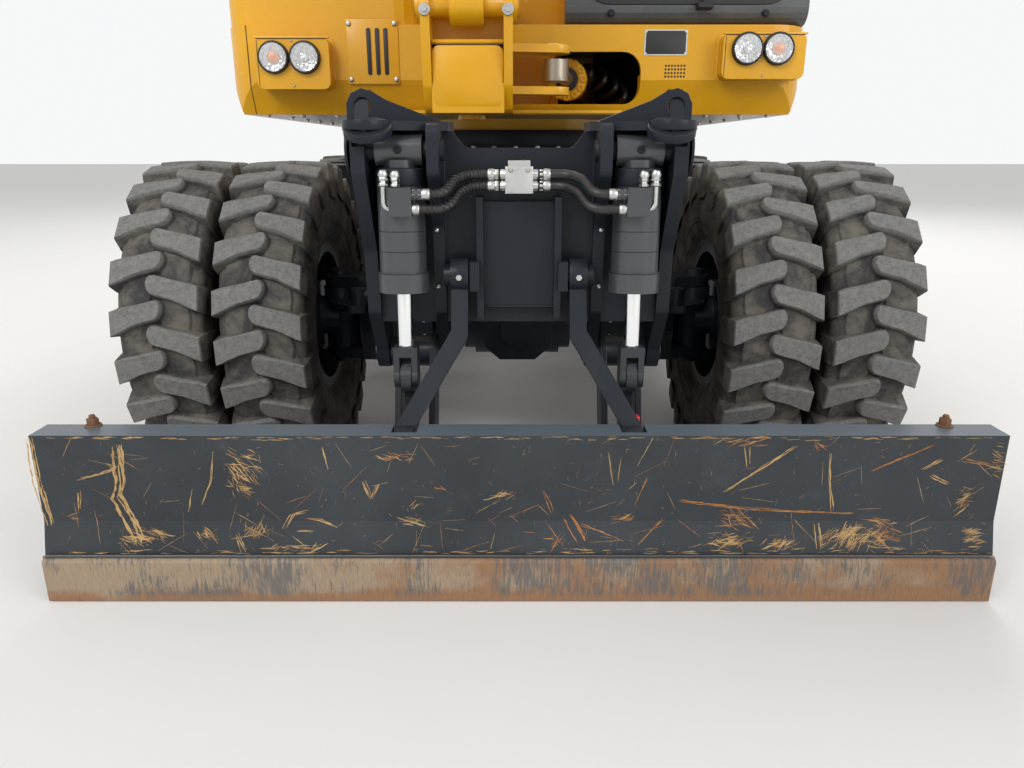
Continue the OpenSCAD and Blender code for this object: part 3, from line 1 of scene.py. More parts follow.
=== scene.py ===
import json
import random
from math import acos, atan2, copysign, cos, pi, radians, sin, tan

import bpy
import bmesh
from mathutils import Matrix, Vector


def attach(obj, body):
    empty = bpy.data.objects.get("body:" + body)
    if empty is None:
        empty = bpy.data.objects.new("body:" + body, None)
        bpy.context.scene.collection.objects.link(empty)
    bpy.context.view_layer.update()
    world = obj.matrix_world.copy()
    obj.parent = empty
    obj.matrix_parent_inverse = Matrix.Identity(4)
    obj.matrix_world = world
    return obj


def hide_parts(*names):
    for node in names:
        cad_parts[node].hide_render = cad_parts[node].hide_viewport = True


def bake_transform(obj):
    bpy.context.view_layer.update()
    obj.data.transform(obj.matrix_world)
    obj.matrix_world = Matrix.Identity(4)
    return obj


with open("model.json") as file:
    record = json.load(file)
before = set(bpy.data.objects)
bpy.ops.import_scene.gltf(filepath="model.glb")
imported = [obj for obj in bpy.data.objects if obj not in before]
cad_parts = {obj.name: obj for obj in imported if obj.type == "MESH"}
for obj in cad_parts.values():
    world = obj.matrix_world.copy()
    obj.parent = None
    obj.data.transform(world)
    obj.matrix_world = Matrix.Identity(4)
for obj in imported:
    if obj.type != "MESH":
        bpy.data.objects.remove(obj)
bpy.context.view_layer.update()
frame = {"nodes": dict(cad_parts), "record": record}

scene = bpy.context.scene
scene.view_settings.view_transform = "Standard"
NODES = frame["nodes"]
# Lengths below are in millimetres about the slew axis, and this puts them in the frame
SLEW_Y = 1.818146876
MM = Matrix.Scale(0.001, 4)


def slid(x, y, z):
    """A shift."""
    return Matrix.Translation((x, y, z))


def turned(degrees, axis):
    """A turn about one axis."""
    return Matrix.Rotation(radians(degrees), 4, axis)


def at(x=0.0, y=0.0, z=0.0, turn=Matrix.Identity(4)):
    """Takes a shape to a point of the machine. Both are in millimetres."""
    return slid(x / 1000, y / 1000 + SLEW_Y, z / 1000) @ turn @ MM


# Camera at the photograph's place
cam = bpy.data.objects.new("camera", bpy.data.cameras.new("camera"))
scene.collection.objects.link(cam)
cam.data.sensor_width = 36
cam.data.lens = 27.04
cam.data.clip_start = 0.02
cam.location = (-0.018, -4.189 + SLEW_Y, 1.132)
cam.rotation_euler = (radians(73), 0, 0)
scene.camera = cam


# ---------------------------------------------------------------- materials
class Nodes:
    """Builds one procedural material."""

    def __init__(self, name, colour, rough, metal=0.0, coat=0.0, spec=0.5):
        self.mat = bpy.data.materials.new(name)
        self.mat.use_nodes = True
        self.tree = self.mat.node_tree
        self.main = self.tree.nodes["Principled BSDF"]
        self.preset({"Base Color": (*colour, 1), "Roughness": rough, "Metallic": metal, "Coat Weight": coat,
                     "Specular IOR Level": spec})
        self.place = self.new("TexCoord").outputs["Object"]

    def preset(self, values, node=None):
        for key, value in values.items():
            (node or self.main).inputs[key].default_value = value

    def new(self, kind, **props):
        node = self.tree.nodes.new("ShaderNode" + kind)
        for k, v in props.items():
            setattr(node, k, v)
        return node

    def put(self, socket, value):
        if isinstance(value, bpy.types.NodeSocket):
            self.tree.links.new(value, socket)
        elif isinstance(value, (tuple, list)) and len(value) == 3 and socket.type == "RGBA":
            socket.default_value = (*value, 1)
        else:
            socket.default_value = value

    def noise(self, scale, detail=4, rough=0.55, size=(1, 1, 1), turn=(0, 0, 0), shift=(0, 0, 0), warp=0.0):
        node = self.new("TexNoise")
        start = self.place
        if size != (1, 1, 1) or shift != (0, 0, 0):
            place = self.new("Mapping")
            self.put(place.inputs["Vector"], start)
            self.preset({"Scale": size, "Rotation": [radians(a) for a in turn], "Location": shift}, place)
            start = place.outputs[0]
        self.put(node.inputs["Vector"], start)
        self.preset({"Scale": scale, "Detail": detail, "Roughness": rough, "Distortion": warp}, node)
        return node.outputs["Fac"]

    def cells(self, scale):
        node = self.new("TexVoronoi", feature="DISTANCE_TO_EDGE")
        self.put(node.inputs["Vector"], self.place)
        node.inputs["Scale"].default_value = scale
        return node.outputs[0]

    def bands(self, direction, scale):
        node = self.new("TexWave", wave_type="BANDS", bands_direction=direction)
        self.put(node.inputs["Vector"], self.place)
        node.inputs["Scale"].default_value = scale
        return node.outputs["Fac"]

    def to(self, value, low, high, a=0.0, b=1.0, kind="LINEAR"):
        """Maps low…high to a…b."""
        node = self.new("MapRange", interpolation_type=kind)
        self.put(node.inputs["Value"], value)
        self.preset({"From Min": low, "From Max": high, "To Min": a, "To Max": b}, node)
        return node.outputs[0]

    def step(self, value, low, high):
        return self.to(value, low, high, kind="SMOOTHSTEP")

    def calc(self, op, a, b=0.0, clamp=False):
        node = self.new("Math", operation=op, use_clamp=clamp)
        self.put(node.inputs[0], a)
        self.put(node.inputs[1], b)
        return node.outputs[0]

    def times(self, a, b):
        return self.calc("MULTIPLY", a, b)

    def plus(self, a, b, clamp=False):
        return self.calc("ADD", a, b, clamp)

    def more(self, a, b):
        return self.calc("MAXIMUM", a, b)

    def mix(self, share, a, b):
        node = self.new("Mix", data_type="RGBA", blend_type="MIX")
        self.put(node.inputs["Factor"], share)
        self.put(node.inputs["A"], a)
        self.put(node.inputs["B"], b)
        return node.outputs["Result"]

    def axes(self, vector=None):
        node = self.new("SeparateXYZ")
        self.put(node.inputs[0], vector or self.place)
        return node.outputs

    def up(self):
        """How far the face looks up, from -1 to 1."""
        return self.axes(self.new("NewGeometry").outputs["Normal"])[2]

    def finish(self, colour, rough=None, bump=None, distance=0.0, strength=0.0):
        """Plugs colour, roughness and relief in, and gives the material."""
        self.put(self.main.inputs["Base Color"], colour)
        if rough is not None:
            self.put(self.main.inputs["Roughness"], rough)
        if bump is not None:
            node = self.new("Bump")
            self.put(node.inputs["Height"], bump)
            self.preset({"Distance": distance, "Strength": strength}, node)
            self.put(self.main.inputs["Normal"], node.outputs[0])
        return self.mat


def painted(name, colour, rough=0.34, dust=(0.36, 0.29, 0.2), dust_amount=0.35, coat=0.25, worn=(0.16, 0.15, 0.14),
            chips=0.5, low=0.9, under=None, spec=0.45):
    """Sprayed paint with orange peel, dust on level faces and towards the ground, and chips. Given under, the faces
    looking down take that darker colour as painted shade.
    """
    n = Nodes(name, colour, rough, coat=coat, spec=spec)
    n.main.inputs["Coat Roughness"].default_value = 0.12
    broad = n.noise(1.7, 5, 0.6)
    grime = n.noise(9, 6, 0.65, size=(1, 1, 0.35))
    fine = n.noise(160, 3, 0.6)
    tint = n.mix(n.to(broad, 0.3, 0.7), [c * 0.9 for c in colour], [min(1, c * 1.06) for c in colour])
    level = n.step(n.up(), 0.35, 0.95)
    height = n.step(n.axes()[2], low, 0.1)
    lay = n.times(n.plus(n.times(level, 0.8), n.times(height, 0.9), True), n.step(grime, 0.35, 0.75))
    lay = n.times(n.plus(lay, n.times(n.step(grime, 0.5, 0.85), 0.3)), dust_amount)
    tint = n.mix(lay, tint, dust)
    marks = n.times(n.step(n.noise(38, 8, 0.75, warp=0.6), 0.71, 0.74), chips)
    lines = n.times(n.step(n.noise(26, 5, 0.7, size=(1, 1, 14), turn=(12, 24, 8)), 0.715, 0.735), chips)
    marks = n.more(marks, lines)
    # Faces looking down turn to the under colour, varied by the grime noise: painted shade
    if under:
        tint = n.mix(n.step(n.up(), -0.8, -0.92), tint, n.mix(grime, under, [c * 1.7 for c in under]))
    gloss = n.plus(n.to(grime, 0.25, 0.8, rough - 0.08, rough + 0.12), n.times(n.more(lay, marks), 0.45), True)
    relief = n.calc("SUBTRACT", n.times(fine, 0.12), n.times(marks, 0.6))
    return n.finish(n.mix(marks, tint, worn), gloss, relief, 0.0006, 0.5)


def metal(name, colour, rough=0.3, brushed=(1, 1, 40), dirt=0.3, stain=(0.06, 0.055, 0.05)):
    n = Nodes(name, colour, rough, metal=1.0)
    line = n.noise(30, 4, 0.6, size=brushed)
    blot = n.noise(24, 5, 0.6)
    tint = n.mix(n.times(n.step(blot, 0.5, 0.8), dirt), n.mix(line, [c * 0.82 for c in colour], colour), stain)
    gloss = n.plus(n.to(line, 0.2, 0.8, rough * 0.7, rough * 1.35), n.times(n.step(blot, 0.45, 0.8), 0.25), True)
    return n.finish(tint, gloss, line, 0.0002, 0.3)


YELLOW_TINT = (0.71, 0.355, 0.004)
YELLOW_LOOK = {"rough": 0.36, "dust_amount": 0.16, "chips": 0.55, "worn": (0.2, 0.12, 0.03), "coat": 0.15}
YELLOW = painted("paint_yellow", YELLOW_TINT, **YELLOW_LOOK)
DARK = painted("paint_dark", (0.014, 0.0175, 0.0245), rough=0.4, dust_amount=0.05, chips=0.3,
               worn=(0.1, 0.098, 0.095), coat=0.03, spec=0.22)
RED = painted("paint_red", (0.75, 0.012, 0.02), rough=0.4, dust_amount=0.08, chips=0.3)
ZINC = metal("zinc_plated", (0.62, 0.62, 0.6), 0.32, dirt=0.25)
CHROME = metal("chrome_rod", (0.86, 0.87, 0.88), 0.08, brushed=(30, 30, 1), dirt=0.05)
BLACK = painted("plastic_black", (0.016, 0.016, 0.017), rough=0.5, dust_amount=0.12, chips=0.0, coat=0)


def rubber_hose():
    n = Nodes("hose_rubber", (0.012, 0.012, 0.013), 0.42)
    return n.finish(n.mix(n.noise(60, 4), (0.008, 0.008, 0.009), (0.03, 0.028, 0.026)),
                    n.to(n.noise(40, 3), 0.2, 0.8, 0.3, 0.55), n.noise(400, 2), 0.0003, 0.3)


def tyre_rubber():
    """Dusty rubber: worn grey lug tops, darker flanks, and dried dirt between the lugs."""
    n = Nodes("tyre_rubber", (0.08, 0.075, 0.07), 0.85, spec=0.3)
    _, y, z = n.axes()
    r = n.calc("SQRT", n.plus(n.times(y, y), n.times(z, z)))
    top = n.step(r, 0.527, 0.537)
    tread = n.step(r, 0.47, 0.5)
    wear = n.noise(60, 6, 0.7)
    pits = n.noise(210, 3, 0.6)
    wall = n.mix(n.step(n.noise(14, 6, 0.65), 0.35, 0.7), (0.018, 0.017, 0.017), (0.062, 0.052, 0.042))
    ground = n.mix(n.step(n.noise(11, 6, 0.7, warp=0.4), 0.36, 0.68), (0.04, 0.039, 0.041), (0.14, 0.127, 0.105))
    worn = n.mix(n.to(wear, 0.3, 0.7), (0.115, 0.114, 0.11), (0.215, 0.212, 0.2))
    worn = n.mix(n.step(pits, 0.6, 0.68), worn, (0.07, 0.066, 0.06))
    tint = n.mix(top, n.mix(tread, wall, ground), worn)
    return n.finish(tint, n.to(wear, 0.2, 0.8, 0.72, 0.95), n.plus(n.times(wear, 0.7), n.times(pits, 0.3)), 0.0016, 0.7)


HOSE, RUBBER = rubber_hose(), tyre_rubber()


def blade_paint():
    """Anthracite paint with scratches, scuffs and rust along its worn edges, and a painted bluish sky reflection on
    faces looking up.
    """
    n = Nodes("blade_paint", (0.025, 0.03, 0.036), 0.4, coat=0.05, spec=0.4)
    x, y, z = n.axes()
    broad = n.noise(3.2, 5, 0.6)
    tint = n.mix(n.to(broad, 0.3, 0.7), (0.018, 0.022, 0.026), (0.034, 0.04, 0.046))
    scuff = n.step(n.noise(13, 9, 0.72, warp=0.8), 0.56, 0.72)
    tint = n.mix(n.times(scuff, 0.22), tint, (0.1, 0.105, 0.105))
    tan = n.mix(n.noise(70, 5, 0.7), (0.40, 0.235, 0.095), (0.62, 0.46, 0.26))
    rust = n.mix(n.noise(40, 5, 0.7), (0.23, 0.085, 0.03), (0.5, 0.24, 0.085))
    # Faces looking up turn bluish: a painted reflection of the sky on the top plate
    level = n.step(n.up(), 0.8, 0.95)
    tint = n.mix(level, tint, n.mix(n.noise(3, 5, 0.6), (0.085, 0.108, 0.13), (0.12, 0.145, 0.17)))
    # Short scratches in three directions
    marks = None
    for turn, seed, limit in ((8, 1.3, 0.70), (-34, 5.1, 0.715), (62, 9.7, 0.72)):
        line = n.noise(34, 4, 0.62, size=(6, 1, 0.8), turn=(0, turn, 0), shift=(seed, 0, seed))
        line = n.step(line, limit, limit + 0.012)
        line = n.times(line, n.step(n.noise(5, 3, 0.6, shift=(seed, seed, 0)), 0.5, 0.6))
        marks = line if marks is None else n.more(marks, line)
    tint = n.mix(n.times(marks, 0.5), tint, tan)
    # Rubbed bare along the top's front edge and the ends
    ragged = n.noise(22, 7, 0.7, size=(1, 1, 2.5))
    front = n.step(y, -0.592, -0.612)
    edge = n.times(n.step(n.plus(z, n.times(ragged, 0.05)), 0.452, 0.468), front)
    ends = n.step(n.plus(n.calc("ABSOLUTE", x), n.times(n.noise(12, 7, 0.7), 0.08)), 1.247, 1.262)
    bare = n.more(edge, n.times(ends, front))
    tint = n.mix(bare, tint, n.mix(n.step(n.noise(17, 5, 0.6), 0.42, 0.6), rust, tan))
    gloss = n.plus(n.to(broad, 0.3, 0.7, 0.34, 0.46), n.times(n.more(bare, marks), 0.4), True)
    return n.finish(tint, gloss, n.calc("SUBTRACT", n.times(n.noise(90, 4), 0.2), n.more(bare, marks)), 0.0006, 0.6)


def edge_steel():
    """The cutting edge: tan rust in upright streaks over blue-grey steel, more orange below."""
    n = Nodes("edge_steel", (0.42, 0.28, 0.15), 0.72)
    x, _, z = n.axes()
    streak = n.noise(26, 7, 0.72, size=(5.5, 1, 0.55))
    hair = n.noise(90, 5, 0.7, size=(4.5, 1, 0.5))
    blot = n.noise(4.2, 6, 0.62, warp=0.5)
    tan = n.mix(hair, (0.17, 0.115, 0.07), (0.44, 0.34, 0.235))
    orange = n.mix(hair, (0.15, 0.062, 0.025), (0.36, 0.21, 0.11))
    steel = n.mix(hair, (0.045, 0.05, 0.058), (0.16, 0.155, 0.145))
    warm = n.plus(n.times(n.step(x, -0.75, 0.1), 0.24), n.times(n.step(z, 0.06, 0.0), 0.3))
    tint = n.mix(n.step(n.plus(n.noise(6, 6, 0.65, shift=(3, 0, 1)), warm), 0.56, 0.82), tan, orange)
    dark = n.step(n.plus(n.times(streak, 0.6), n.times(blot, 0.5)), 0.535, 0.63)
    tint = n.mix(n.times(n.times(dark, n.step(z, 0.0, 0.03)), 0.85), tint, steel)
    relief = n.plus(n.times(streak, 0.6), n.times(hair, 0.4))
    return n.finish(tint, n.to(streak, 0.3, 0.7, 0.6, 0.85), relief, 0.0012, 0.6)


def tinted_glass():
    n = Nodes("cab_glass", (0.6, 0.72, 0.72), 0.03)
    n.preset({"Transmission Weight": 0.0, "Alpha": 0.32})
    return n.finish(n.mix(n.noise(2, 2), (0.10, 0.13, 0.13), (0.15, 0.19, 0.19)),
                    n.to(n.noise(30, 4, 0.6), 0.3, 0.8, 0.02, 0.09))


def cloth():
    n = Nodes("seat_cloth", (0.03, 0.03, 0.034), 0.9)
    n.preset({"Sheen Weight": 0.3, "Sheen Roughness": 0.5})
    weave = n.times(n.bands("X", 180), n.bands("DIAGONAL", 180))
    return n.finish(n.mix(n.times(weave, n.noise(30, 3)), (0.026, 0.026, 0.029), (0.045, 0.045, 0.051)),
                    bump=weave, distance=0.0003, strength=0.3)


BLADE, EDGE, GLASS, CLOTH = blade_paint(), edge_steel(), tinted_glass(), cloth()

SLOT_MATERIALS = {
    "machine_yellow": YELLOW, "frame_dark": DARK, "blade_dark": BLADE, "wear_steel": EDGE, "tyre_rubber": RUBBER,
    "rod_chrome": CHROME, "zinc": ZINC, "hose_black": HOSE, "trim_black": BLACK, "pin_steel": DARK, "glass": GLASS,
    "seat_cloth": CLOTH,
}
for row in frame["record"]["subparts"]:
    materials = NODES[row["node"]].data.materials
    materials.clear()
    materials.append(SLOT_MATERIALS[row["material_slot"]])

# Rolled and flame-cut edges: the CAD's sharp corners are eased where plates end
EASED = {
    2.5: ("blade_mount", "blade_arms", "blade_links", "chassis", "steps", "front_axle", "rear_axle", "knuckle_left",
          "knuckle_right", "rocker", "bucket_link", "bucket", "valve_block", "cutting_edge", "slew_ring", "engine"),
    4.0: ("swing_bracket", "boom", "arm", "upper_frame", "side_housing", "hood", "side_door", "lamps", "blade"),
    6.0: ("cab_frame", "cab_door", "counterweight"),
}
for width, names in EASED.items():
    for name in names:
        mods = NODES[name].modifiers
        mods.new("weld", "WELD").merge_threshold = 0.00005
        flat = mods.new("flat", "DECIMATE")
        flat.decimate_type = "DISSOLVE"
        flat.angle_limit = radians(0.6)
        soft = mods.new("edge", "BEVEL")
        soft.width = width / 1000
        soft.segments = 2
        soft.limit_method = "ANGLE"
        soft.angle_limit = radians(38)
        soft.use_clamp_overlap = True
        soft.harden_normals = False

# ---------------------------------------------------------------- mesh helpers
# Slot of each material; a paint that no slot stands for takes the one of the piece it lies on
SLOT_OF = {mat: slot for slot, mat in SLOT_MATERIALS.items() if slot != "pin_steel"}
SLOT_OF[RED] = "machine_yellow"
SIDES = {"left": 1, "right": -1}
MOUNT_Y, MOUNT_TOP = -2100.0, 1197.0
BLOCK_FACE = MOUNT_Y - 96
HOSE_Y = MOUNT_Y - 61


def shown(name, verts, faces, mat, smooth=0, outward=False):
    """An object of one material whose faces are smooth but for edges sharper than so many degrees."""
    mesh = bpy.data.meshes.new(name)
    mesh.from_pydata(verts, [], faces)
    mesh.materials.append(mat)
    if smooth:
        bm = bmesh.new()
        bm.from_mesh(mesh)
        if outward:
            bmesh.ops.recalc_face_normals(bm, faces=bm.faces)
        for f in bm.faces:
            f.smooth = True
        for e in bm.edges:
            if len(e.link_faces) == 2 and e.calc_face_angle(0) > radians(smooth):
                e.smooth = False
        bm.to_mesh(mesh)
        bm.free()
    ob = bpy.data.objects.new(name, mesh)
    scene.collection.objects.link(ob)
    return ob


class Part:
    """Collects shapes in the frame for one piece of one material on one body."""

    made = []

    def __init__(self, name, body, mat, smooth=40):
        self.name, self.body, self.mat, self.smooth = name, body, mat, smooth
        self.verts, self.faces = [], []
        Part.made.append(self)

    def add(self, shape, where=at()):
        verts, faces = shape
        base = len(self.verts)
        self.verts += [tuple(where @ Vector(v)) for v in verts]
        flip = where.to_3x3().determinant() < 0
        self.faces += [[base + i for i in (reversed(f) if flip else f)] for f in faces]

    def build(self):
        ob = shown(self.name, self.verts, self.faces, self.mat, self.smooth)
        if isinstance(self.body, tuple):
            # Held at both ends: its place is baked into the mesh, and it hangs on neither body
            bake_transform(ob)
        else:
            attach(ob, self.body)
        return ob


def parts(body, **mats):
    """Pieces of one body, each with its material."""
    return [Part(name, body, mat) for name, mat in mats.items()]


def around(n):
    """Cosine and sine of n even turns."""
    return [(cos(2 * pi * k / n), sin(2 * pi * k / n)) for k in range(n)]


def ngon(r, n, x=0.0, y=0.0):
    """An even polygon, or a circle, about (x, y)."""
    return [(x + r * c, y + r * s) for c, s in around(n)]


def spokes(n, start=0.0):
    """Turns about Z that place n like shapes in a ring."""
    return [Matrix.Rotation(2 * pi * (k + start) / n, 4, "Z") for k in range(n)]


def skin(m, n, closed=False):
    """Faces between m loops of n points, with both ends capped unless the last loop meets the first."""
    faces = []
    for i in range(m if closed else m - 1):
        j = (i + 1) % m
        for k in range(n):
            l = (k + 1) % n
            faces.append((i * n + k, i * n + l, j * n + l, j * n + k))
    if not closed:
        faces += [tuple(range(n))[::-1], tuple((m - 1) * n + k for k in range(n))]
    return faces


def lathe(profile, n=32, closed=False):
    """Turns (r, z) points about Z."""
    return [(r * c, r * s, z) for r, z in profile for c, s in around(n)], skin(len(profile), n, closed)


def loft(loops):
    """Skins loops of equal length."""
    return [tuple(p) for loop in loops for p in loop], skin(len(loops), len(loops[0]))


def stack(loop, levels):
    """A 2-D loop lofted through levels of (scale, z)."""
    return loft([[(x * k, y * k, z) for x, y in loop] for k, z in levels])


def shrunk(loop, by):
    """A 2-D loop, anticlockwise, moved inwards along its corners' bisectors."""
    out, n = [], len(loop)
    for i in range(n):
        p, q, r = Vector(loop[i - 1][:2]), Vector(loop[i][:2]), Vector(loop[(i + 1) % n][:2])
        a, b = (q - p).normalized(), (r - q).normalized()
        na, nb = Vector((-a.y, a.x)), Vector((-b.y, b.x))
        mid = na + nb
        mid = mid.normalized() if mid.length > 1e-6 else na
        out.append(q + mid * min(by / max(0.35, mid.dot(na)), by * 2))
    return out


def prism(loop, depth, bevel=0.0):
    """An anticlockwise 2-D loop raised from z 0 to depth, with its top edge bevelled."""
    levels = [(loop, 0), (loop, depth - bevel)]
    if bevel:
        levels += [(shrunk(loop, bevel * 0.3), depth - bevel * 0.3), (shrunk(loop, bevel), depth)]
    return loft([[(p[0], p[1], z) for p in row] for row, z in levels])


def rounded(w, h, r, n=5):
    """An anticlockwise rounded rectangle about the middle."""
    r = min(r, w / 2 - 0.01, h / 2 - 0.01)
    out = []
    for sx, sy, a0 in ((1, 1, 0), (-1, 1, 90), (-1, -1, 180), (1, -1, 270)):
        for i in range(n + 1):
            a = radians(a0 + 90 * i / n)
            out.append((sx * (w / 2 - r) + r * cos(a), sy * (h / 2 - r) + r * sin(a)))
    return out


def slab(w, h, r, *rest):
    """A raised rounded rectangle."""
    return prism(rounded(w, h, r), *rest)


def box(w, d, h, bevel=2.0):
    """A box on z 0 about the middle, all its edges bevelled."""
    b = min(bevel, w / 3, d / 3, h / 3)
    base = rounded(w, d, b, 2)
    inner = rounded(w - 2 * b, d - 2 * b, 0.02, 2)
    return loft([[(x, y, z) for x, y in loop] for loop, z in ((inner, 0), (base, b), (base, h - b), (inner, h))])


def merged(shapes):
    """Several shapes as one."""
    verts, faces = [], []
    for v, f in shapes:
        base = len(verts)
        verts += v
        faces += [tuple(base + i for i in face) for face in f]
    return verts, faces


def bolt(across=24, head=11, washer=True, socket=False):
    """A screw seen from its head's side, rising along Z from z 0."""
    r = across / 2
    z = 2.5 if washer else 0
    shapes = [lathe([(r * 1.45, 0), (r * 1.45, 2), (r * 1.35, 3), (r * 0.6, 3)], 20)] if washer else []
    if socket:
        shapes.append(lathe([(r, z), (r, z + head - 1.5), (r - 1.5, z + head), (r * 0.55, z + head),
                             (r * 0.5, z + head * 0.45), (0.1, z + head * 0.45)], 20))
    else:
        shapes.append(stack(ngon(r * 1.12, 6), ((1, z), (1, z + head - 2), (0.88, z + head))))
    return merged(shapes)


def spline(points, steps=8):
    """A smooth line through points, with so many steps between two of them."""
    pts = [Vector(p) for p in points]
    ext = [2 * pts[0] - pts[1]] + pts + [2 * pts[-1] - pts[-2]]
    out = []
    for p0, p1, p2, p3 in zip(ext, ext[1:], ext[2:], ext[3:]):
        for k in range(steps):
            t = k / steps
            out.append(0.5 * (2 * p1 + (p2 - p0) * t + (2 * p0 - 5 * p1 + 4 * p2 - p3) * t * t
                              + (3 * p1 - p0 - 3 * p2 + p3) * t ** 3))
    return out + [pts[-1]]


def bent(points, r, n=6):
    """A line whose inner corners turn with radius r."""
    pts = [Vector(p) for p in points]
    out = [pts[0]]
    for a, b, c in zip(pts, pts[1:], pts[2:]):
        u, v = a - b, c - b
        shorter = min(u.length, v.length)
        u, v = u / u.length, v / v.length
        half = acos(max(-1, min(1, u.dot(v)))) / 2
        if half > 1.55:
            out.append(b)
            continue
        rr = min(r, tan(half) * 0.48 * shorter)
        m = b + (u + v).normalized() * rr / sin(half)
        e, f = ((b + w * rr / tan(half) - m).normalized() for w in (u, v))
        sweep = pi - 2 * half
        for k in range(n + 1):
            t = k / n
            out.append(m + rr * (e * sin(sweep * (1 - t)) + f * sin(sweep * t)) / sin(sweep))
    return out + [pts[-1]]


def frames(path):
    """Side and up at each point of a path, turning as little as may be."""
    n = len(path)
    tangents = []
    for i in range(n):
        t = path[min(i + 1, n - 1)] - path[max(i - 1, 0)]
        tangents.append(t.normalized() if t.length > 1e-9 else Vector((0, 0, 1)))
    ref = Vector((0, 0, 1)) if abs(tangents[0].z) < 0.9 else Vector((1, 0, 0))
    side = tangents[0].cross(ref).normalized()
    out = []
    for t in tangents:
        side = (side - t * side.dot(t)).normalized()
        out.append((side, t.cross(side)))
    return out


def pipe(path, r, n=12):
    """A round bar along a path. r is one radius, or one for each point."""
    path = [Vector(p) for p in path]
    radii = r if isinstance(r, list) else [r] * len(path)
    return loft([[p + (s * c + u * d) * radius for c, d in around(n)]
                 for p, (s, u), radius in zip(path, frames(path), radii)])


def coil(path, r, wire, pitch):
    """A wire wound round a path."""
    lengths = [0.0]
    for a, b in zip(path, path[1:]):
        lengths.append(lengths[-1] + (b - a).length)
    fr = frames(path)
    per_turn = 10
    steps = int(lengths[-1] / pitch * per_turn)
    line, j = [], 0
    for i in range(steps + 1):
        s = lengths[-1] * i / steps
        while j < len(lengths) - 2 and lengths[j + 1] < s:
            j += 1
        p = path[j].lerp(path[j + 1], (s - lengths[j]) / max(1e-9, lengths[j + 1] - lengths[j]))
        a = 2 * pi * s / pitch
        line.append(p + (fr[j][0] * cos(a) + fr[j][1] * sin(a)) * r)
    return pipe(line, wire, 6)


def holed(outer, holes, depth, bevel=0.0):
    """A flat plate with holes, from z 0 to depth."""
    cu = bpy.data.curves.new("cut", "CURVE")
    cu.dimensions, cu.fill_mode = "2D", "BOTH"
    cu.extrude = depth / 2 - bevel
    cu.bevel_depth, cu.offset, cu.bevel_resolution = bevel, -bevel, 1
    for loop in [outer, *holes]:
        line = cu.splines.new("POLY")
        line.points.add(len(loop) - 1)
        for p, q in zip(line.points, loop):
            p.co = (q[0], q[1], 0, 1)
        line.use_cyclic_u = True
    ob = bpy.data.objects.new("cut", cu)
    mesh = bpy.data.meshes.new_from_object(ob)
    shape = [(v.co.x, v.co.y, v.co.z + depth / 2) for v in mesh.vertices], [tuple(f.vertices) for f in mesh.polygons]
    bpy.data.objects.remove(ob)
    bpy.data.curves.remove(cu)
    bpy.data.meshes.remove(mesh)
    return shape


# ---------------------------------------------------------------- where things go
FACES = {
    "front": ((1, 0, 0), (0, 0, 1), (0, -1, 0)), "back": ((-1, 0, 0), (0, 0, 1), (0, 1, 0)),
    "left": ((0, 1, 0), (0, 0, 1), (1, 0, 0)), "right": ((0, -1, 0), (0, 0, 1), (-1, 0, 0)),
    "top": ((1, 0, 0), (0, 1, 0), (0, 0, 1)), "under": ((1, 0, 0), (0, -1, 0), (0, 0, -1)),
}


def on(face, x, y, z, spin=0.0, tilt=0.0):
    """Lays a shape drawn in x and y, rising along z, on a face of the machine."""
    return at(x, y, z, Matrix(FACES[face]).transposed().to_4x4() @ turned(tilt, "X") @ turned(spin, "Z"))


def aimed(a, b):
    """Puts +Z of a shape on the line from a to b."""
    a, b = Vector(a), Vector(b)
    return at(*a) @ (b - a).to_track_quat("Z", "Y").to_matrix().to_4x4()


def along_link(pin, angle):
    """Frame of the boom or the arm: x across, y forward along the link, z above it."""
    c, s = cos(radians(angle)), sin(radians(angle))
    return slid(0, SLEW_Y, 0) @ MM @ Matrix(((1, 0, 0, KX), (0, -c, s, pin[0]), (0, s, c, pin[1]), (0, 0, 0, 1)))


def bolts(piece, face, spots, *kind):
    """Screws at spots, each turned its own way."""
    rng = random.Random(len(spots) * 7 + kind[0])
    for spot in spots:
        piece.add(bolt(*kind), on(face, *spot, spin=rng.uniform(0, 60)))


def add_fitting(piece, a, b, r):
    """A hose fitting from a to b: nut, neck and second nut."""
    length, where = (Vector(b) - Vector(a)).length, aimed(a, b)
    for lo, hi in ((0.0, 0.42), (0.62, 1.0)):
        z0, z1 = lo * length, hi * length
        piece.add(stack(ngon(r * 1.1, 6), ((0.9, z0), (1, z0 + 1.5), (1, z1 - 1.5), (0.9, z1))), where)
    piece.add(lathe([(r * 0.72, 0.3), (r * 0.72, length - 0.3)], 16), where)


WELD_R = 4.0


def weld(piece, a, b):
    """A fillet weld with its ripples from a to b."""
    a, b = Vector(a), Vector(b)
    n = max(2, int((b - a).length / 3.2))
    piece.add(pipe([a.lerp(b, i / n) for i in range(n + 1)],
                   [WELD_R * (0.86 + 0.2 * abs(sin(i * 1.9))) for i in range(n + 1)], 6))


# ---------------------------------------------------------------- tyres
AXLE_Z, TYRE_R, HALF_W, RIM_R = 547.5, 547.5, 137.0, 256.0
LUGS, LUG_H = 22, 30.0
CARCASS_R = TYRE_R - LUG_H - 3
AXLES = {"front": -1400.0, "rear": 1000.0}
OUTER_X, INNER_X, DISC_X = 1093.0, 785.0, 939.0
PITCH = 2 * pi * TYRE_R / LUGS
# How far a lug runs round the tyre for its way across
SLOPE = 0.27
# Sidewall from bead to shoulder: x, and height over the rim
WALL = ((-89, 2), (-97, 8), (-98, 22), (-104, 28), (-108, 36), (-111, 38), (-114, 48), (-120, 58), (-127, 80),
        (-129.5, 84), (-133, 105), (-135, 130), (-134.5, 160), (-132, 185), (-130.5, 188), (-130, 198))


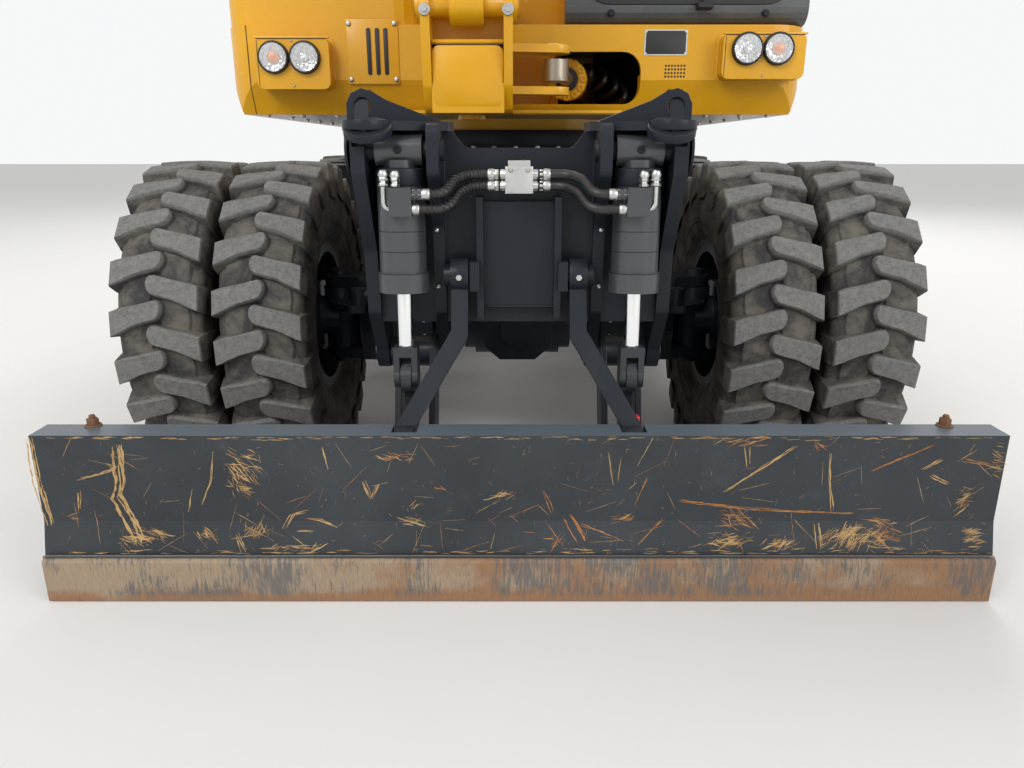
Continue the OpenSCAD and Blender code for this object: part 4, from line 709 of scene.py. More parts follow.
def carcass(x):
    """Radius of the tread's ground at x from the middle."""
    t = abs(x) / HALF_W
    return CARCASS_R - 5 * t * t - (max(0, t - 0.72) / 0.28) ** 2 * 38


def crown(x):
    """Radius of the lugs' tops at x."""
    t = abs(x) / HALF_W
    return TYRE_R - 2 - 6 * t * t


def spun(profile, n):
    """A closed profile of (x, radius) turned round the axle."""
    return [(x, r * c, r * s) for x, r in profile for c, s in around(n)], skin(len(profile), n, True)


def wrapped(pts, levels, turn):
    """A loop of (x, v) lifted over the carcass through levels of (height share, shrink)."""
    area = sum(pts[i - 1][0] * pts[i][1] - pts[i][0] * pts[i - 1][1] for i in range(len(pts)))
    if area < 0:
        pts = pts[::-1]
    loops = []
    for share, shrink in levels:
        row = []
        for x, v in shrunk(pts, shrink) if shrink else pts:
            base, top = carcass(x) - 6, crown(x)
            r, a = base + (top - base) * share, v / TYRE_R + turn
            row.append((x, r * cos(a), r * sin(a)))
        loops.append(row)
    return loft(loops)


def lug(side, turn, rng):
    """From the shoulder towards the middle and a little past it, its inner end round."""
    w0, w1 = 29 + rng.uniform(-0.8, 0.8), 37
    edge = [(HALF_W - 3, w1 + 2), (HALF_W - 24, w1 + 1), (HALF_W - 44, w1 - 2), (60, w0 + 1)]
    end = [(-2 - 20 * sin(radians(a)), w0 * cos(radians(a))) for a in range(0, 181, 30)]
    ring = [(edge[0][0], -edge[0][1])] + edge + end + [(x, -v) for x, v in edge[:0:-1]]
    return wrapped([(x * side, v + SLOPE * x + 0.1 * max(0, x - 70)) for x, v in ring],
                   [(-0.3, -7.5), (0.25, -4.5), (0.84, -0.6), (0.95, 0.4), (1.0, 2.6)], turn)


def tie(side, turn):
    """A low block between two lugs."""
    ring = [(30, -0.5), (96, -0.5), (104, 0), (96, 0.5), (30, 0.5), (14, 0.25), (10, 0), (14, -0.25)]
    return wrapped([(x * side, v * PITCH + SLOPE * x) for x, v in ring], [(-0.1, -3), (0.28, 0), (0.36, 4)], turn)


def tyre_shape():
    side = [(x, RIM_R + r) for x, r in WALL]
    side += [(x, carcass(x)) for x in (-131, -127, -120, -110, -98, -80, -60, -40, -20, 0)]
    shapes = [spun(side + [(-x, r) for x, r in reversed(side[:-1])], 112)]
    rng = random.Random(5)
    step = 2 * pi / LUGS
    for i in range(LUGS):
        for way, offset in ((1, 0.0), (-1, 0.5)):
            shapes += [lug(way, (i + offset) * step, rng), tie(way, (i + offset + 0.5) * step)]
    # Rings moulded in the sidewall
    for s in (-1, 1):
        for x, r, w in ((-115, 50, 2.2), (-128, 82, 2.0), (-134, 148, 1.6)):
            shapes.append(spun([(s * (x + w * c), RIM_R + r + w * d) for c, d in around(6)], 96))
    return merged(shapes)


tyre_verts, tyre_faces = tyre_shape()
for k, (end, y) in enumerate(AXLES.items()):
    for side, s in SIDES.items():
        for i, (where, x) in enumerate((("outer", OUTER_X), ("inner", INNER_X))):
            # Each tyre stands at another turn of its tread
            a = 0.37 * (4 * k + 2 * i + s)
            c, d = cos(a), sin(a)
            verts = [(p / 1000, (q * c - r * d) / 1000, (q * d + r * c) / 1000) for p, q, r in tyre_verts]
            ob = shown(f"tyre_{end}_{side}_{where}", verts, tyre_faces, RUBBER, 35, outward=True)
            ob.location = (s * x / 1000, y / 1000 + SLEW_Y, AXLE_Z / 1000)
            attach(ob, f"wheel_{end}_{side}")
            if where == "outer":
                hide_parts(f"tyres_{end}_{side}")

# ---------------------------------------------------------------- blade mount and linkage
LIFT_PIN, LIFT_EYE, RAM_X = (-2185.0, 1128.0), (-2215.0, 553.0), 298.0
SATIN = painted("paint_satin", (0.045, 0.049, 0.055), rough=0.3, dust_amount=0.06, chips=0.15, coat=0.5, low=0.2)
# Near-black for grooves, gaps, slots and holes: painted shade where they recede
GROOVE = painted("groove_dark", (0.01, 0.01, 0.011), rough=0.5, dust_amount=0.02, chips=0.0, coat=0)


def lift_frame(side):
    """Frame of a blade cylinder: z down its axis from the top pin, y forward, x outward."""
    d = Vector((0, LIFT_EYE[0] - LIFT_PIN[0], LIFT_EYE[1] - LIFT_PIN[1])).normalized()
    turn = Matrix((Vector((side, 0, 0)), Vector((0, d.z, -d.y)), d)).transposed().to_4x4()
    return at(side * RAM_X, *LIFT_PIN, turn)


def fork_rod():
    """Chrome rod whose fork at the foot is painted."""
    n = Nodes("blade_rod", (0.86, 0.87, 0.88), 0.08)
    rod = n.to(n.axes()[2], 0.6355, 0.6365)
    line = n.noise(30, 4, 0.6, size=(30, 30, 1))
    n.put(n.main.inputs["Metallic"], rod)
    tint = n.mix(rod, n.mix(line, (0.014, 0.017, 0.021), (0.026, 0.029, 0.034)),
                 n.mix(line, (0.7, 0.71, 0.72), (0.87, 0.88, 0.89)))
    return n.finish(tint, n.plus(n.times(rod, -0.34), n.to(line, 0.2, 0.8, 0.4, 0.47), True), line, 0.0002, 0.3)


def to_mm(v):
    return Vector((v.x * 1000, (v.y - SLEW_Y) * 1000, v.z * 1000))


NODES["blade_rods"].data.materials[0] = fork_rod()
NODES["swing_rod"].data.materials[0] = metal("swing_rod_steel", (0.36, 0.31, 0.25), 0.34, dirt=0.5,
                                             stain=(0.12, 0.08, 0.05))
NODES["blade_barrels"].data.materials[0] = SATIN
mount_dark, mount_zinc = parts("undercarriage", mount_details=DARK, mount_zinc=ZINC)
ram_dark, ram_line, ram_zinc = parts("blade_barrels", blade_barrel_caps=DARK, blade_barrel_grooves=GROOVE,
                                     blade_barrel_fittings=ZINC)
sleeve, wrap = parts(("undercarriage", "blade_barrels"), blade_hose_sleeves=HOSE, blade_hose_wrap=HOSE)
# Corners of the two hoses of a side: x, distance ahead of the block's ports, z
HOSES = [[(x, HOSE_Y - ahead, z) for x, ahead, z in row] for row in (
    ((48, 0, 1070), (70, 0, 1070), (128, 5, 1070), (160, 50, 1058), (182, 103, 1026), (236, 103, 1026)),
    ((48, 0, 1042), (70, 0, 1042), (118, 5, 1042), (150, 50, 1026), (174, 103, 990), (262, 103, 990)))]
for s in (1, -1):
    for route in HOSES:
        path = bent([(s * x, y, z) for x, y, z in route], 45, 8)
        # The machine's left pair has a fabric sleeve, the right pair a wire
        sleeve.add(pipe(path, 12.5 if s > 0 else 11, 14))
        if s < 0:
            wrap.add(coil(path[4:], 12.2, 1.9, 13))
        first, last = path[0], path[-1]
        block, nut, neck = ((s * x, first.y, first.z) for x in (35, 62, 90))
        add_fitting(mount_zinc, block, nut, 12.5)
        mount_zinc.add(lathe([(13.5, 0), (14.5, 2), (14.5, 16), (13.2, 18)], 18), aimed(nut, neck))
        out = (last - path[-2]).normalized()
        ram_zinc.add(lathe([(13.2, 0), (14.5, 2), (14.5, 18), (13.0, 20)], 18), aimed(last - out * 18, last + out * 20))
        add_fitting(ram_zinc, last, last + out * 26, 12)
    m = lift_frame(s)
    # Head cap, the grooves in the barrel as near-black rings of painted shade, its elbows and pipes
    ram_dark.add(lathe([(58, 43), (62, 46), (62.5, 49), (62.5, 84), (60.5, 88)], 56), m)
    for r, z, low, high, end in ((60.2, 196, 0.3, 1.8, 2.1), (60.2, 246, 0.3, 1.8, 2.1), (65.2, 300, 0.4, 2.4, 3)):
        ram_line.add(lathe([(r, z), (r + 0.3, z + low), (r + 0.3, z + high), (r, z + end)], 56), m)
    for x, top, route in ((4, 62, HOSES[0]), (33, 60, HOSES[1])):
        root, knob, down = (to_mm(m @ Vector(p)) for p in ((x, 46, top), (x, 78, top), (x, 76, top + 28)))
        add_fitting(ram_zinc, root, knob, 11.5)
        ram_zinc.add(lathe([(0.1, 0), (8, 0.8), (11.5, 5), (12, 12), (11.5, 18), (8, 22), (0.1, 23)], 18),
                     aimed(knob + Vector((0, 6, 12)), knob + Vector((0, 6, -12))))
        add_fitting(ram_zinc, knob + Vector((0, 5, -6)), down, 11)
        x1, y1, z1 = route[-1]
        knee, foot = Vector((down.x, down.y, z1)), Vector((s * (x1 + 26), y1, z1))
        ram_zinc.add(pipe(bent([down, knee, foot], 16), 6.5))
    # Bracket that holds the pipes to the barrel
    ram_zinc.add(box(44, 14, 22, 2), m @ slid(12, 62, 126) @ turned(90, "X"))
    bolts(ram_zinc, "front", [(s * (RAM_X + 12), -2262, 1004)], 12, 6, False)
    # Socket plug in the eye, cap on the pin, and grease nipples
    bolts(ram_dark, "front", [(s * RAM_X, LIFT_PIN[0] - 40.5, LIFT_PIN[1] + 2)], 20, 5, False, True)
    mount_dark.add(lathe([(60, 0), (60, 5), (57, 7), (44, 7)], 40),
                   on("left" if s > 0 else "right", s * 418, *LIFT_PIN))
    for z in (930, 780):
        mount_zinc.add(lathe([(5, 0), (5, 3), (3, 4), (3, 8), (4, 9), (4, 11), (2, 13)], 12),
                       on("front", s * 214, MOUNT_Y - 36 - (z - 700) * 0.1, z))
# Ring bolts on the turret, seen in the notch
bolts(mount_zinc, "top", [(558 * s, -558 * c, 1130) for c, s in around(36)], 22, 13)
# Weld beads along the mount's ribs
bead = Part("mount_welds", "undercarriage", DARK)
for s in (1, -1):
    for x, z0, z1 in ((93, 700, 1010), (111, 700, 1010), (196, 760, 1130), (226, 760, 1130), (375, 760, 1170)):
        weld(bead, (s * x, MOUNT_Y - 3, z0), (s * x, MOUNT_Y - 3, z1))
weld(bead, (-100, MOUNT_Y - 28, 722), (100, MOUNT_Y - 28, 722))
# Screws and face of the silver block
bolts(mount_zinc, "front", [(x, BLOCK_FACE, 1082) for x in (-22, 22)], 12, 6, False, True)
mount_zinc.add(slab(69, 65, 3, 1.2, 1), on("front", 0, BLOCK_FACE + 0.2, 1057))
link_dark, link_red, link_zinc = parts("blade_links", blade_link_details=DARK, blade_link_tip=RED,
                                       blade_link_nipples=ZINC)
# Tilted lashing rings and the upright towing plates over them
ears = Part("mount_ears", "undercarriage", DARK)
EAR = ((190, 0), (330, 0), (430, 0), (430, 44), (418, 68), (392, 80), (364, 72), (330, 52))
for s in (1, -1):
    ears.add(holed(ngon(58, 36), [ngon(30, 30)], 20, 3), at(s * 362, -2256, 1165, turned(24, "X")))
    ears.add(holed([(s * x, z) for x, z in EAR][::s], [ngon(20, 24, s * 390, 38)], 16, 2),
             on("front", 0, -2146, MOUNT_TOP - 1))
    weld(bead, (s * 200, -2147, MOUNT_TOP + 2), (s * 400, -2147, MOUNT_TOP + 2))

# ---------------------------------------------------------------- blade: scratches, studs, ledge
TAN = painted("scratch_tan", (0.47, 0.3, 0.125), rough=0.85, dust=(0.3, 0.22, 0.12), dust_amount=0.3, coat=0,
              worn=(0.24, 0.13, 0.05), chips=1.0)
OCHRE = painted("scratch_rust", (0.36, 0.15, 0.045), rough=0.85, dust=(0.4, 0.25, 0.12), dust_amount=0.5, coat=0,
                worn=(0.5, 0.3, 0.13), chips=1.0)
RUSTY = painted("rusty_nut", (0.16, 0.075, 0.04), rough=0.85, dust=(0.3, 0.2, 0.13), dust_amount=0.5, coat=0,
                worn=(0.06, 0.035, 0.025), chips=0.8)
SLOT_OF.update(dict.fromkeys((TAN, OCHRE, RUSTY), "wear_steel"))
BOARD_FOOT, BOARD_TOP = 127, 443


def board_y(z):
    """Front of the mouldboard at height z."""
    return -2431 + (22 + (z - 125) * 22 / 85 if z < 210 else 44 + (z - 210) * 2 / 235)


def strip(points, width, rng, lift=0.5):
    """A ragged flat stroke on the mouldboard through (x, z) points."""
    line = [Vector((x, z, 0)) for x, z in points]
    fine = []
    for a, b in zip(line, line[1:]):
        n = max(1, int((b - a).length / 9))
        fine += [a.lerp(b, i / n) for i in range(n)]
    fine.append(line[-1])
    verts, m, drift = [], len(fine), 0.0
    for i, p in enumerate(fine):
        t = (fine[min(i + 1, m - 1)] - fine[max(i - 1, 0)]).normalized()
        side = Vector((-t.y, t.x, 0))
        drift = (drift + rng.uniform(-0.5, 0.5) * width) * 0.8
        half = width * 0.5 * rng.uniform(0.25, 1.2) * min(1, (i + 0.6) / 2.5, (m - i - 0.4) / 2.5)
        for s in (-1, 1):
            q = p + side * (drift + s * max(0.25, half))
            z = min(BOARD_TOP, max(BOARD_FOOT, q.y))
            verts.append((q.x, board_y(z) - lift, z))
    faces = [(2 * i, 2 * i + 1, 2 * i + 3, 2 * i + 2) for i in range(m - 1)]
    # All faces look forward
    v = [Vector(verts[k]) for k in faces[0]]
    if (v[1] - v[0]).cross(v[2] - v[1]).y > 0:
        faces = [f[::-1] for f in faces]
    return verts, faces


rng = random.Random(11)
PENS = dict(zip("TO", parts("blade", blade_scratches_tan=TAN, blade_scratches_rust=OCHRE)))
# Strokes: pen, width, how many side by side, and the line they follow
LINES = [
    ("T", 4, 4, [(-1008, 420), (-1013, 319), (-1029, 280), (-1006, 224), (-978, 157)]),
    ("T", 2, 2, [(-1036, 372), (-1028, 355), (-1095, 333), (-1121, 328)]), ("T", 2, 2, [(-1127, 292), (-1133, 241)]),
    ("T", 2, 2, [(-606, 192), (-584, 230), (-550, 235)]), ("T", 2, 2, [(-575, 187), (-537, 182)]),
    ("T", 2, 2, [(-551, 218), (-516, 210), (-474, 195)]), ("T", 2, 2, [(-734, 177), (-714, 129)]),
    ("T", 2, 1, [(-496, 415), (-485, 355)]), ("T", 2, 1, [(-774, 404), (-787, 328), (-816, 258)]),
    ("T", 2, 1, [(-834, 297), (-852, 235)]), ("T", 2, 3, [(-401, 319), (-383, 272)]),
    ("T", 2, 2, [(-358, 314), (-377, 278)]), ("O", 3, 3, [(122, 224), (143, 187), (161, 157)]),
    ("O", 2, 1, [(161, 202), (215, 185), (273, 162)]), ("O", 2, 2, [(312, 152), (345, 185), (378, 218)]),
    ("O", 2, 1, [(328, 333), (312, 292), (299, 255)]), ("T", 1, 1, [(227, 399), (233, 352), (240, 314)]),
    ("O", 2, 1, [(61, 297), (77, 261), (88, 230)]), ("T", 2, 2, [(530, 292), (616, 358), (699, 417)]),
    ("O", 2, 2, [(894, 350), (967, 385), (1043, 420)]), ("T", 2, 2, [(1020, 355), (1069, 380)]),
    ("T", 2, 2, [(784, 399), (790, 325), (806, 235)]), ("T", 1.5, 1, [(568, 415), (576, 358)]),
    ("T", 1.5, 1, [(581, 415), (585, 369)]), ("O", 2, 2, [(414, 266), (583, 247), (725, 238), (863, 230)]),
    ("T", 2, 2, [(1050, 339), (1098, 314)]), ("O", 2, 2, [(1125, 380), (1199, 363)]),
    ("T", 3, 3, [(-1228, 442), (-1226, 325), (-1213, 200)]), ("T", 2, 3, [(772, 205), (781, 141)]),
]
# Rubbed patches: pen, density, and their box
PATCHES = [
    ("T", 1.0, -1030, 144, -912, 192), ("T", 0.8, -1166, 207, -1137, 230), ("T", 1.0, -840, 159, -770, 187),
    ("T", 0.45, -757, 275, -649, 415), ("T", 1.0, -693, 380, -668, 404), ("T", 1.0, -716, 283, -690, 311),
    ("T", 1.0, -724, 169, -637, 202), ("T", 0.9, -659, 136, -495, 149), ("T", 0.9, -311, 200, -251, 224),
    ("T", 0.9, -284, 247, -255, 264), ("T", 0.9, -215, 297, -182, 308), ("T", 0.8, -69, 269, -13, 303),
    ("T", 0.5, -365, 374, -255, 404), ("O", 1.0, 75, 144, 122, 167), ("O", 1.0, 233, 205, 310, 230),
    ("O", 0.7, 508, 415, 621, 439), ("O", 0.7, 732, 409, 785, 428), ("O", 0.8, 519, 190, 611, 247),
    ("T", 0.9, 486, 139, 604, 185), ("T", 0.9, 626, 139, 732, 167), ("T", 1.0, 774, 139, 946, 205),
    ("O", 1.0, 901, 139, 978, 224), ("T", 0.6, 1123, 224, 1165, 308), ("T", 0.9, 1200, 328, 1224, 434),
    ("T", 0.7, 1152, 136, 1205, 205),
]
for pen, width, count, line in LINES:
    for i in range(count + 1):
        off = rng.uniform(-1, 1) * width * count * 1.6
        line_here = [(x + off + rng.uniform(-2, 2), z + off * 0.4 + rng.uniform(-3, 3)) for x, z in line]
        PENS[pen].add(strip(line_here, width * rng.uniform(0.8, 1.7), rng))
for pen, density, x0, z0, x1, z1 in PATCHES:
    lean = rng.uniform(-0.9, 0.9)
    for i in range(int((x1 - x0) * (z1 - z0) * density / 85)):
        # Denser towards the patch's middle
        x = x0 + (x1 - x0) * (rng.random() + rng.random()) / 2
        z = z0 + (z1 - z0) * (rng.random() + rng.random()) / 2
        length = rng.uniform(6, 34) * (1 if rng.random() < 0.8 else 1.8)
        a = lean + rng.gauss(0, 0.35)
        dx, dz = length / 2 * cos(a), length / 2 * sin(a)
        used = PENS[pen if rng.random() < 0.8 else ("O" if pen == "T" else "T")]
        used.add(strip([(x - dx, z - dz), (x + dx, z + dz)], rng.uniform(1.2, 4.6), rng, rng.uniform(0.4, 0.7)))
# Fine hair scratches and specks all over, the more the lower
for i in range(330):
    x, z = rng.uniform(-1190, 1190), 130 + 305 * rng.random() ** 1.5
    length = rng.uniform(10, 90) if rng.random() < 0.45 else rng.uniform(3, 14)
    a = rng.choice((-0.9, 0.35, 1.2, 0.05)) + rng.gauss(0, 0.25)
    used = PENS["T" if rng.random() < 0.6 else "O"]
    used.add(strip([(x, z), (x + length * cos(a), z + length * sin(a))], rng.uniform(0.6, 1.8), rng))
# Chipped paint along the foot of the board and along its top edge
for i in range(210):
    x = rng.uniform(-1225, 1225)
    z = 128 + rng.random() ** 2 * 12 if i % 2 else 442 - rng.random() ** 2 * 9
    length = rng.uniform(5, 45)
    PENS["T"].add(strip([(x, z), (x + length, z + rng.uniform(-2, 2))], rng.uniform(1.2, 4), rng))
# Studs with nuts that hold the end guards, on the top plate
studs = Part("blade_studs", "blade", RUSTY)
for s in (-1, 1):
    spot = on("top", s * 1104, -2312, 445, spin=14)
    studs.add(lathe([(21, 0), (21, 3), (19, 4), (8, 4)], 20), spot)
    studs.add(bolt(27, 17, False), spot @ slid(0, 0, 4))
    studs.add(lathe([(8, 18), (8, 28), (6.5, 30)], 14), spot)
# Weld along the ledge between board and cutting edge
ledge = Part("blade_ledge", "blade", BLADE)
ledge_x = range(-1226, 1227, 36)
ledge.add(pipe([(x, -2424, 126.5) for x in ledge_x], [2.6 + 0.7 * rng.random() for _ in ledge_x], 6))
# Bent bars: hex screw at the top, and a red tip on one lower end
for s in (-1, 1):
    bolts(link_zinc, "front", [(s * 156, -2193.5, 812)], 16, 8, False)
    link_dark.add(lathe([(30, 0), (30, 4), (27, 6), (12, 6)], 28),
                  on("right" if s > 0 else "left", s * 132.5, -2150, 812))
link_red.add(box(40, 24, 12, 3), on("top", 296, -2288, 452))

# ---------------------------------------------------------------- upper structure's front
FRONT, LAMP_FACE, DECK_UNDER = -1000.0, -1070.0, 1262
# Kingpost
KX, KY = -165.0, -1190.0
# The deck's faces looking down are painted grey-brown: painted shade under the deck
NODES["upper_frame"].data.materials[0] = painted("paint_yellow_deck", YELLOW_TINT, under=(0.2, 0.17, 0.13),
                                                 **YELLOW_LOOK)


def two_tone():
    """The cab: grey front face, yellow behind it."""
    n = Nodes("paint_cab", YELLOW_TINT, 0.4, coat=0.3)
    grime = n.noise(9, 6, 0.65)
    front = n.to(n.axes()[1], 0.905, 0.900)
    grey = n.mix(n.to(grime, 0.3, 0.7), (0.05, 0.054, 0.06), (0.085, 0.088, 0.09))
    return n.finish(n.mix(front, YELLOW_TINT, grey), n.to(grime, 0.25, 0.8, 0.32, 0.5), n.noise(160, 3, 0.6),
                    0.0003, 0.4)


def lens_glass():
    n = Nodes("lamp_lens", (0.75, 0.78, 0.8), 0.06)
    n.preset({"Alpha": 0.3})
    ridge = n.bands("X", 60)
    return n.finish(n.mix(ridge, (0.7, 0.72, 0.74), (0.95, 0.96, 0.97)), bump=ridge, distance=0.002, strength=0.8)


def amber_glass():
    n = Nodes("lamp_amber", (0.85, 0.2, 0.02), 0.2, coat=0.6)
    cell = n.cells(90)
    return n.finish(n.mix(cell, (0.95, 0.32, 0.04), (0.6, 0.1, 0.01)), bump=cell, distance=0.001, strength=0.6)


def reflector():
    n = Nodes("lamp_reflector", (0.8, 0.81, 0.82), 0.12, metal=1.0)
    cell = n.cells(60)
    # Darker along the facets' borders: painted shade in the creases between the facets
    return n.finish(n.mix(n.step(cell, 0.0, 0.1), (0.3, 0.31, 0.33), (0.85, 0.86, 0.87)),
                    bump=cell, distance=0.003, strength=0.9)


NODES["cab_frame"].data.materials[0] = two_tone()
LENS, AMBER, REFLECT = lens_glass(), amber_glass(), reflector()
SLOT_OF.update({LENS: "glass", AMBER: "glass", REFLECT: "rod_chrome"})
up_zinc, up_dark, up_gap, up_yellow, lamp_lens, lamp_back, lamp_amber = parts(
    "upper", front_screws=ZINC, front_dark_parts=BLACK, front_gaps=GROOVE, front_yellow_parts=YELLOW,
    front_lamp_lenses=LENS, front_lamp_reflectors=REFLECT, front_lamp_amber=AMBER)
for x, z, outer in ((-912, 1460, True), (-795, 1460, False), (862, 1490, False), (978, 1490, True)):
    here = on("front", x, LAMP_FACE, z)
    up_dark.add(lathe([(50, 8.5), (50, 0.3), (58.5, 0.3), (58.5, 11), (56, 19), (52.5, 20), (50.5, 17)], 48, True),
                here)
    lamp_back.add(lathe([(50, 8.3), (50, 15), (40, 11), (26, 9.4), (12, 9), (0.1, 9)], 40), here)
    bulb, r = (lamp_amber, 24) if outer else (lamp_back, 14)
    bulb.add(lathe([(r, 9), (r, 13), (16, 16.5), (8, 18), (0.1, 18.4)], 28), here)
    lamp_lens.add(lathe([(50.5, 17), (50, 19), (45, 22), (34, 25), (18, 27), (0.1, 27.6)], 40), here)
# Lamp boxes: lip over the face, seams as near-black lines of painted shadow under the lip and along the side, and the
# plate behind the box
for x0, x1, z0, z1 in ((-982, -704, 1348, 1531), (772, 1083, 1384, 1545)):
    mid, w, plate_z = (x0 + x1) / 2, x1 - x0, max(z0, 1390)
    bolts(up_zinc, "front", [(mid, LAMP_FACE, z1 - 12), (mid, LAMP_FACE, z0 + 13)], 9, 4, False, True)
    up_yellow.add(slab(w + 4, 8, 3, 9, 2), on("front", mid, FRONT - 64, z1 - 1))
    up_gap.add(slab(w - 16, 2.6, 1.2, 0.5), on("front", mid, LAMP_FACE, z1 - 6.5))
    up_gap.add(slab(2.4, z1 - z0 - 22, 1.1, 0.5), on("front", x0 + 9, LAMP_FACE, (z0 + z1) / 2))
    up_yellow.add(slab(w + 14, z1 - plate_z + 12, 20, 3, 1.5), on("front", mid, FRONT, (z1 + plate_z) / 2))
# Vent plate with three slots, near-black behind them as painted shade
up_yellow.add(slab(200, 230, 8, 4, 1.5), on("front", -551, FRONT, 1487))
slot = rounded(17, 168, 8.4, 6)
for x in (-564, -531, -499):
    up_gap.add(prism(slot, 0.8, 0.3), on("front", x, FRONT - 4, 1487))
    up_yellow.add(holed(rounded(21, 172, 10.4, 6), [slot], 1.6, 0.5), on("front", x, FRONT - 3.8, 1487))
for x in (-638, -464):
    for z in (1388, 1586):
        up_zinc.add(lathe([(10.5, 0), (10.5, 1.2), (9.5, 4), (6, 6.2), (2.8, 6.8), (2.6, 4.4), (0.1, 4.4)], 20),
                    on("front", x, FRONT - 4, z))
# Blank plate and the perforated field below it, its holes near-black discs of painted shade
up_dark.add(slab(158, 86, 4, 1.4, 0.5), on("front", 569, FRONT, 1520))
up_zinc.add(holed(rounded(164, 92, 5), [rounded(154, 82, 3)], 1.9, 0.5), on("front", 569, FRONT, 1520))
for x in (-74, 74):
    for z in (-38, 38):
        up_zinc.add(lathe([(3, 0), (2.6, 1.4), (1, 2)], 10), on("front", 569 + x, FRONT - 1.6, 1520 + z))
for i in range(7):
    for j in range(4):
        up_gap.add(lathe([(4.2, 0), (4.2, 0.5), (3.6, 0.7)], 12), on("front", 574 + i * 12, FRONT, 1399 + j * 13))
# Seam near the corner as a near-black line of painted shade, the deck's lip under the bracket, and screws along the
# deck's underside
up_gap.add(pipe([(-1033, -991, 1582), (-1033, -991, 1364), (-1033, -951, 1263)], 1.6, 6))
up_yellow.add(box(860, 38, 14, 3), on("top", -22, -1004, DECK_UNDER))
bolts(up_zinc, "under", [(x, -905, DECK_UNDER) for x in (-1000, -860, -720, -600, 620, 760, 900, 1010)], 16, 7)
bolts(up_zinc, "under", [(s * 960, y, DECK_UNDER) for s in (-1, 1)
                         for y in (-700, -450, -200, 60, 320, 580, 840)], 16, 7)

# Kingpost bracket: face plate and washered screws
br_yellow, br_zinc, br_gap = parts("swing_bracket", bracket_plates=YELLOW, bracket_screws=ZINC, bracket_gaps=GROOVE)
br_yellow.add(slab(238, 196, 26, 16, 4), on("front", KX, -1424, 1362))
# Near-black line of painted shade in the gap along the face plate's top edge
br_gap.add(slab(232, 3, 1, 0.8), on("front", KX, -1440, 1461))
br_yellow.add(box(238, 170, 14, 4), on("top", KX, -1350, 1464))
for s in (-1, 1):
    spot = on("front", KX + s * 134, -1484.6, 1560, tilt=4)
    br_zinc.add(lathe([(19, -8), (19, 3), (17.5, 4.5), (8, 4.5)], 28), spot)
    br_zinc.add(bolt(19, 10, False), spot @ slid(0, 0, 4))
# Pin and retaining plates of the kingpost and of the swing cylinder
FORK_R, FORK_A = 310, radians(15)
ex, ey = KX + FORK_R * cos(FORK_A), KY - FORK_R * sin(FORK_A)
br_yellow.add(lathe([(40, 0), (40, 2.5), (38, 4), (12, 4)], 32), on("top", ex, ey, 1476))
br_zinc.add(bolt(22, 5, False), on("top", ex, ey, 1479.5))
br_zinc.add(bolt(17, 7, False), on("top", ex - 78, ey + 10, 1476))
br_yellow.add(box(90, 44, 8, 2), on("top", KX, KY, 1850))
bolts(br_zinc, "top", [(KX - 30, KY, 1858), (KX + 30, KY, 1858)], 18, 9)
# Gland of the swing cylinder with its socket screws
gland, gland_line = parts("swing_barrel", swing_gland=YELLOW, swing_gland_recesses=GROOVE)
m = aimed((330, -200, 1395), (ex, ey, 1395))
gland.add(lathe([(56, 676), (76, 680), (78, 684), (78, 724), (75, 730), (50, 732), (46, 728), (31, 728)], 56), m)
for c, d in around(12):
    gland.add(lathe([(13, 690), (13, 736), (11, 739), (7, 739), (6.5, 733), (0.1, 733)], 16),
              m @ slid(66 * c, 66 * d, 0))
# Near-black ring of painted shade in the gland's recess
gland_line.add(lathe([(45, 728.4), (45, 729.2), (30, 729.2)], 40), m)
# Swing cylinder's hoses and its grease lines inside the opening
swing_hose = Part("swing_hoses", "upper", HOSE)
for k, (x, z) in enumerate(((300, 1478), (352, 1462), (395, 1440), (430, 1410))):
    swing_hose.add(pipe(spline([(x, -560, z), (x + 10, -700, z - 14), (x + 4 * k, -860, z - 60 - 6 * k),
                                (max(x - 30, 322), -640, z - 100)]), 11, 10))

# Cab's front: rubber seal, screws and wiper
CX0, CX1, CY, CZ0, CZ1 = 185.0, 1105.0, -996.0, 1583.0, 3041.0
CM = (CX0 + CX1) / 2
wz0, wz1 = CZ0 + 82, CZ1 - 130
wide, tall, middle = CX1 - CX0 - 152, wz1 - wz0, (wz0 + wz1) / 2


def cab_y(z):
    """Front of the cab at height z."""
    return CY + 30 * (z - CZ0) / (CZ1 - CZ0)


cab_rubber = Part("cab_seals", "upper", BLACK)
cab_rubber.add(holed(rounded(wide + 26, tall + 26, 100, 8), [rounded(wide - 22, tall - 22, 80, 8)], 9, 3),
               on("front", CM, cab_y(middle) + 4, middle, tilt=-1.18))
bolts(Part("cab_screws", "upper", DARK), "front", [(x, cab_y(1622), 1622) for x in (357, 942)], 20, 9)
wiper = Part("cab_wiper", "upper", BLACK)
arm_y = cab_y(2300) + 16
wiper.add(pipe(bent([(CM + 60, cab_y(wz0 + 20) + 2, wz0 - 18), (CM + 60, cab_y(wz0) - 16, wz0 - 10),
                     (CM - 40, arm_y - 4, wz0 + 420), (CM - 60, arm_y + 2, wz0 + 520)], 20), 6, 8))
wiper.add(box(9, 16, 620, 3), on("top", CM - 60, arm_y + 8, wz0 + 210))
wiper.add(box(60, 26, 44, 6), on("front", CM + 60, cab_y(wz0 - 20) + 3, wz0 - 20))

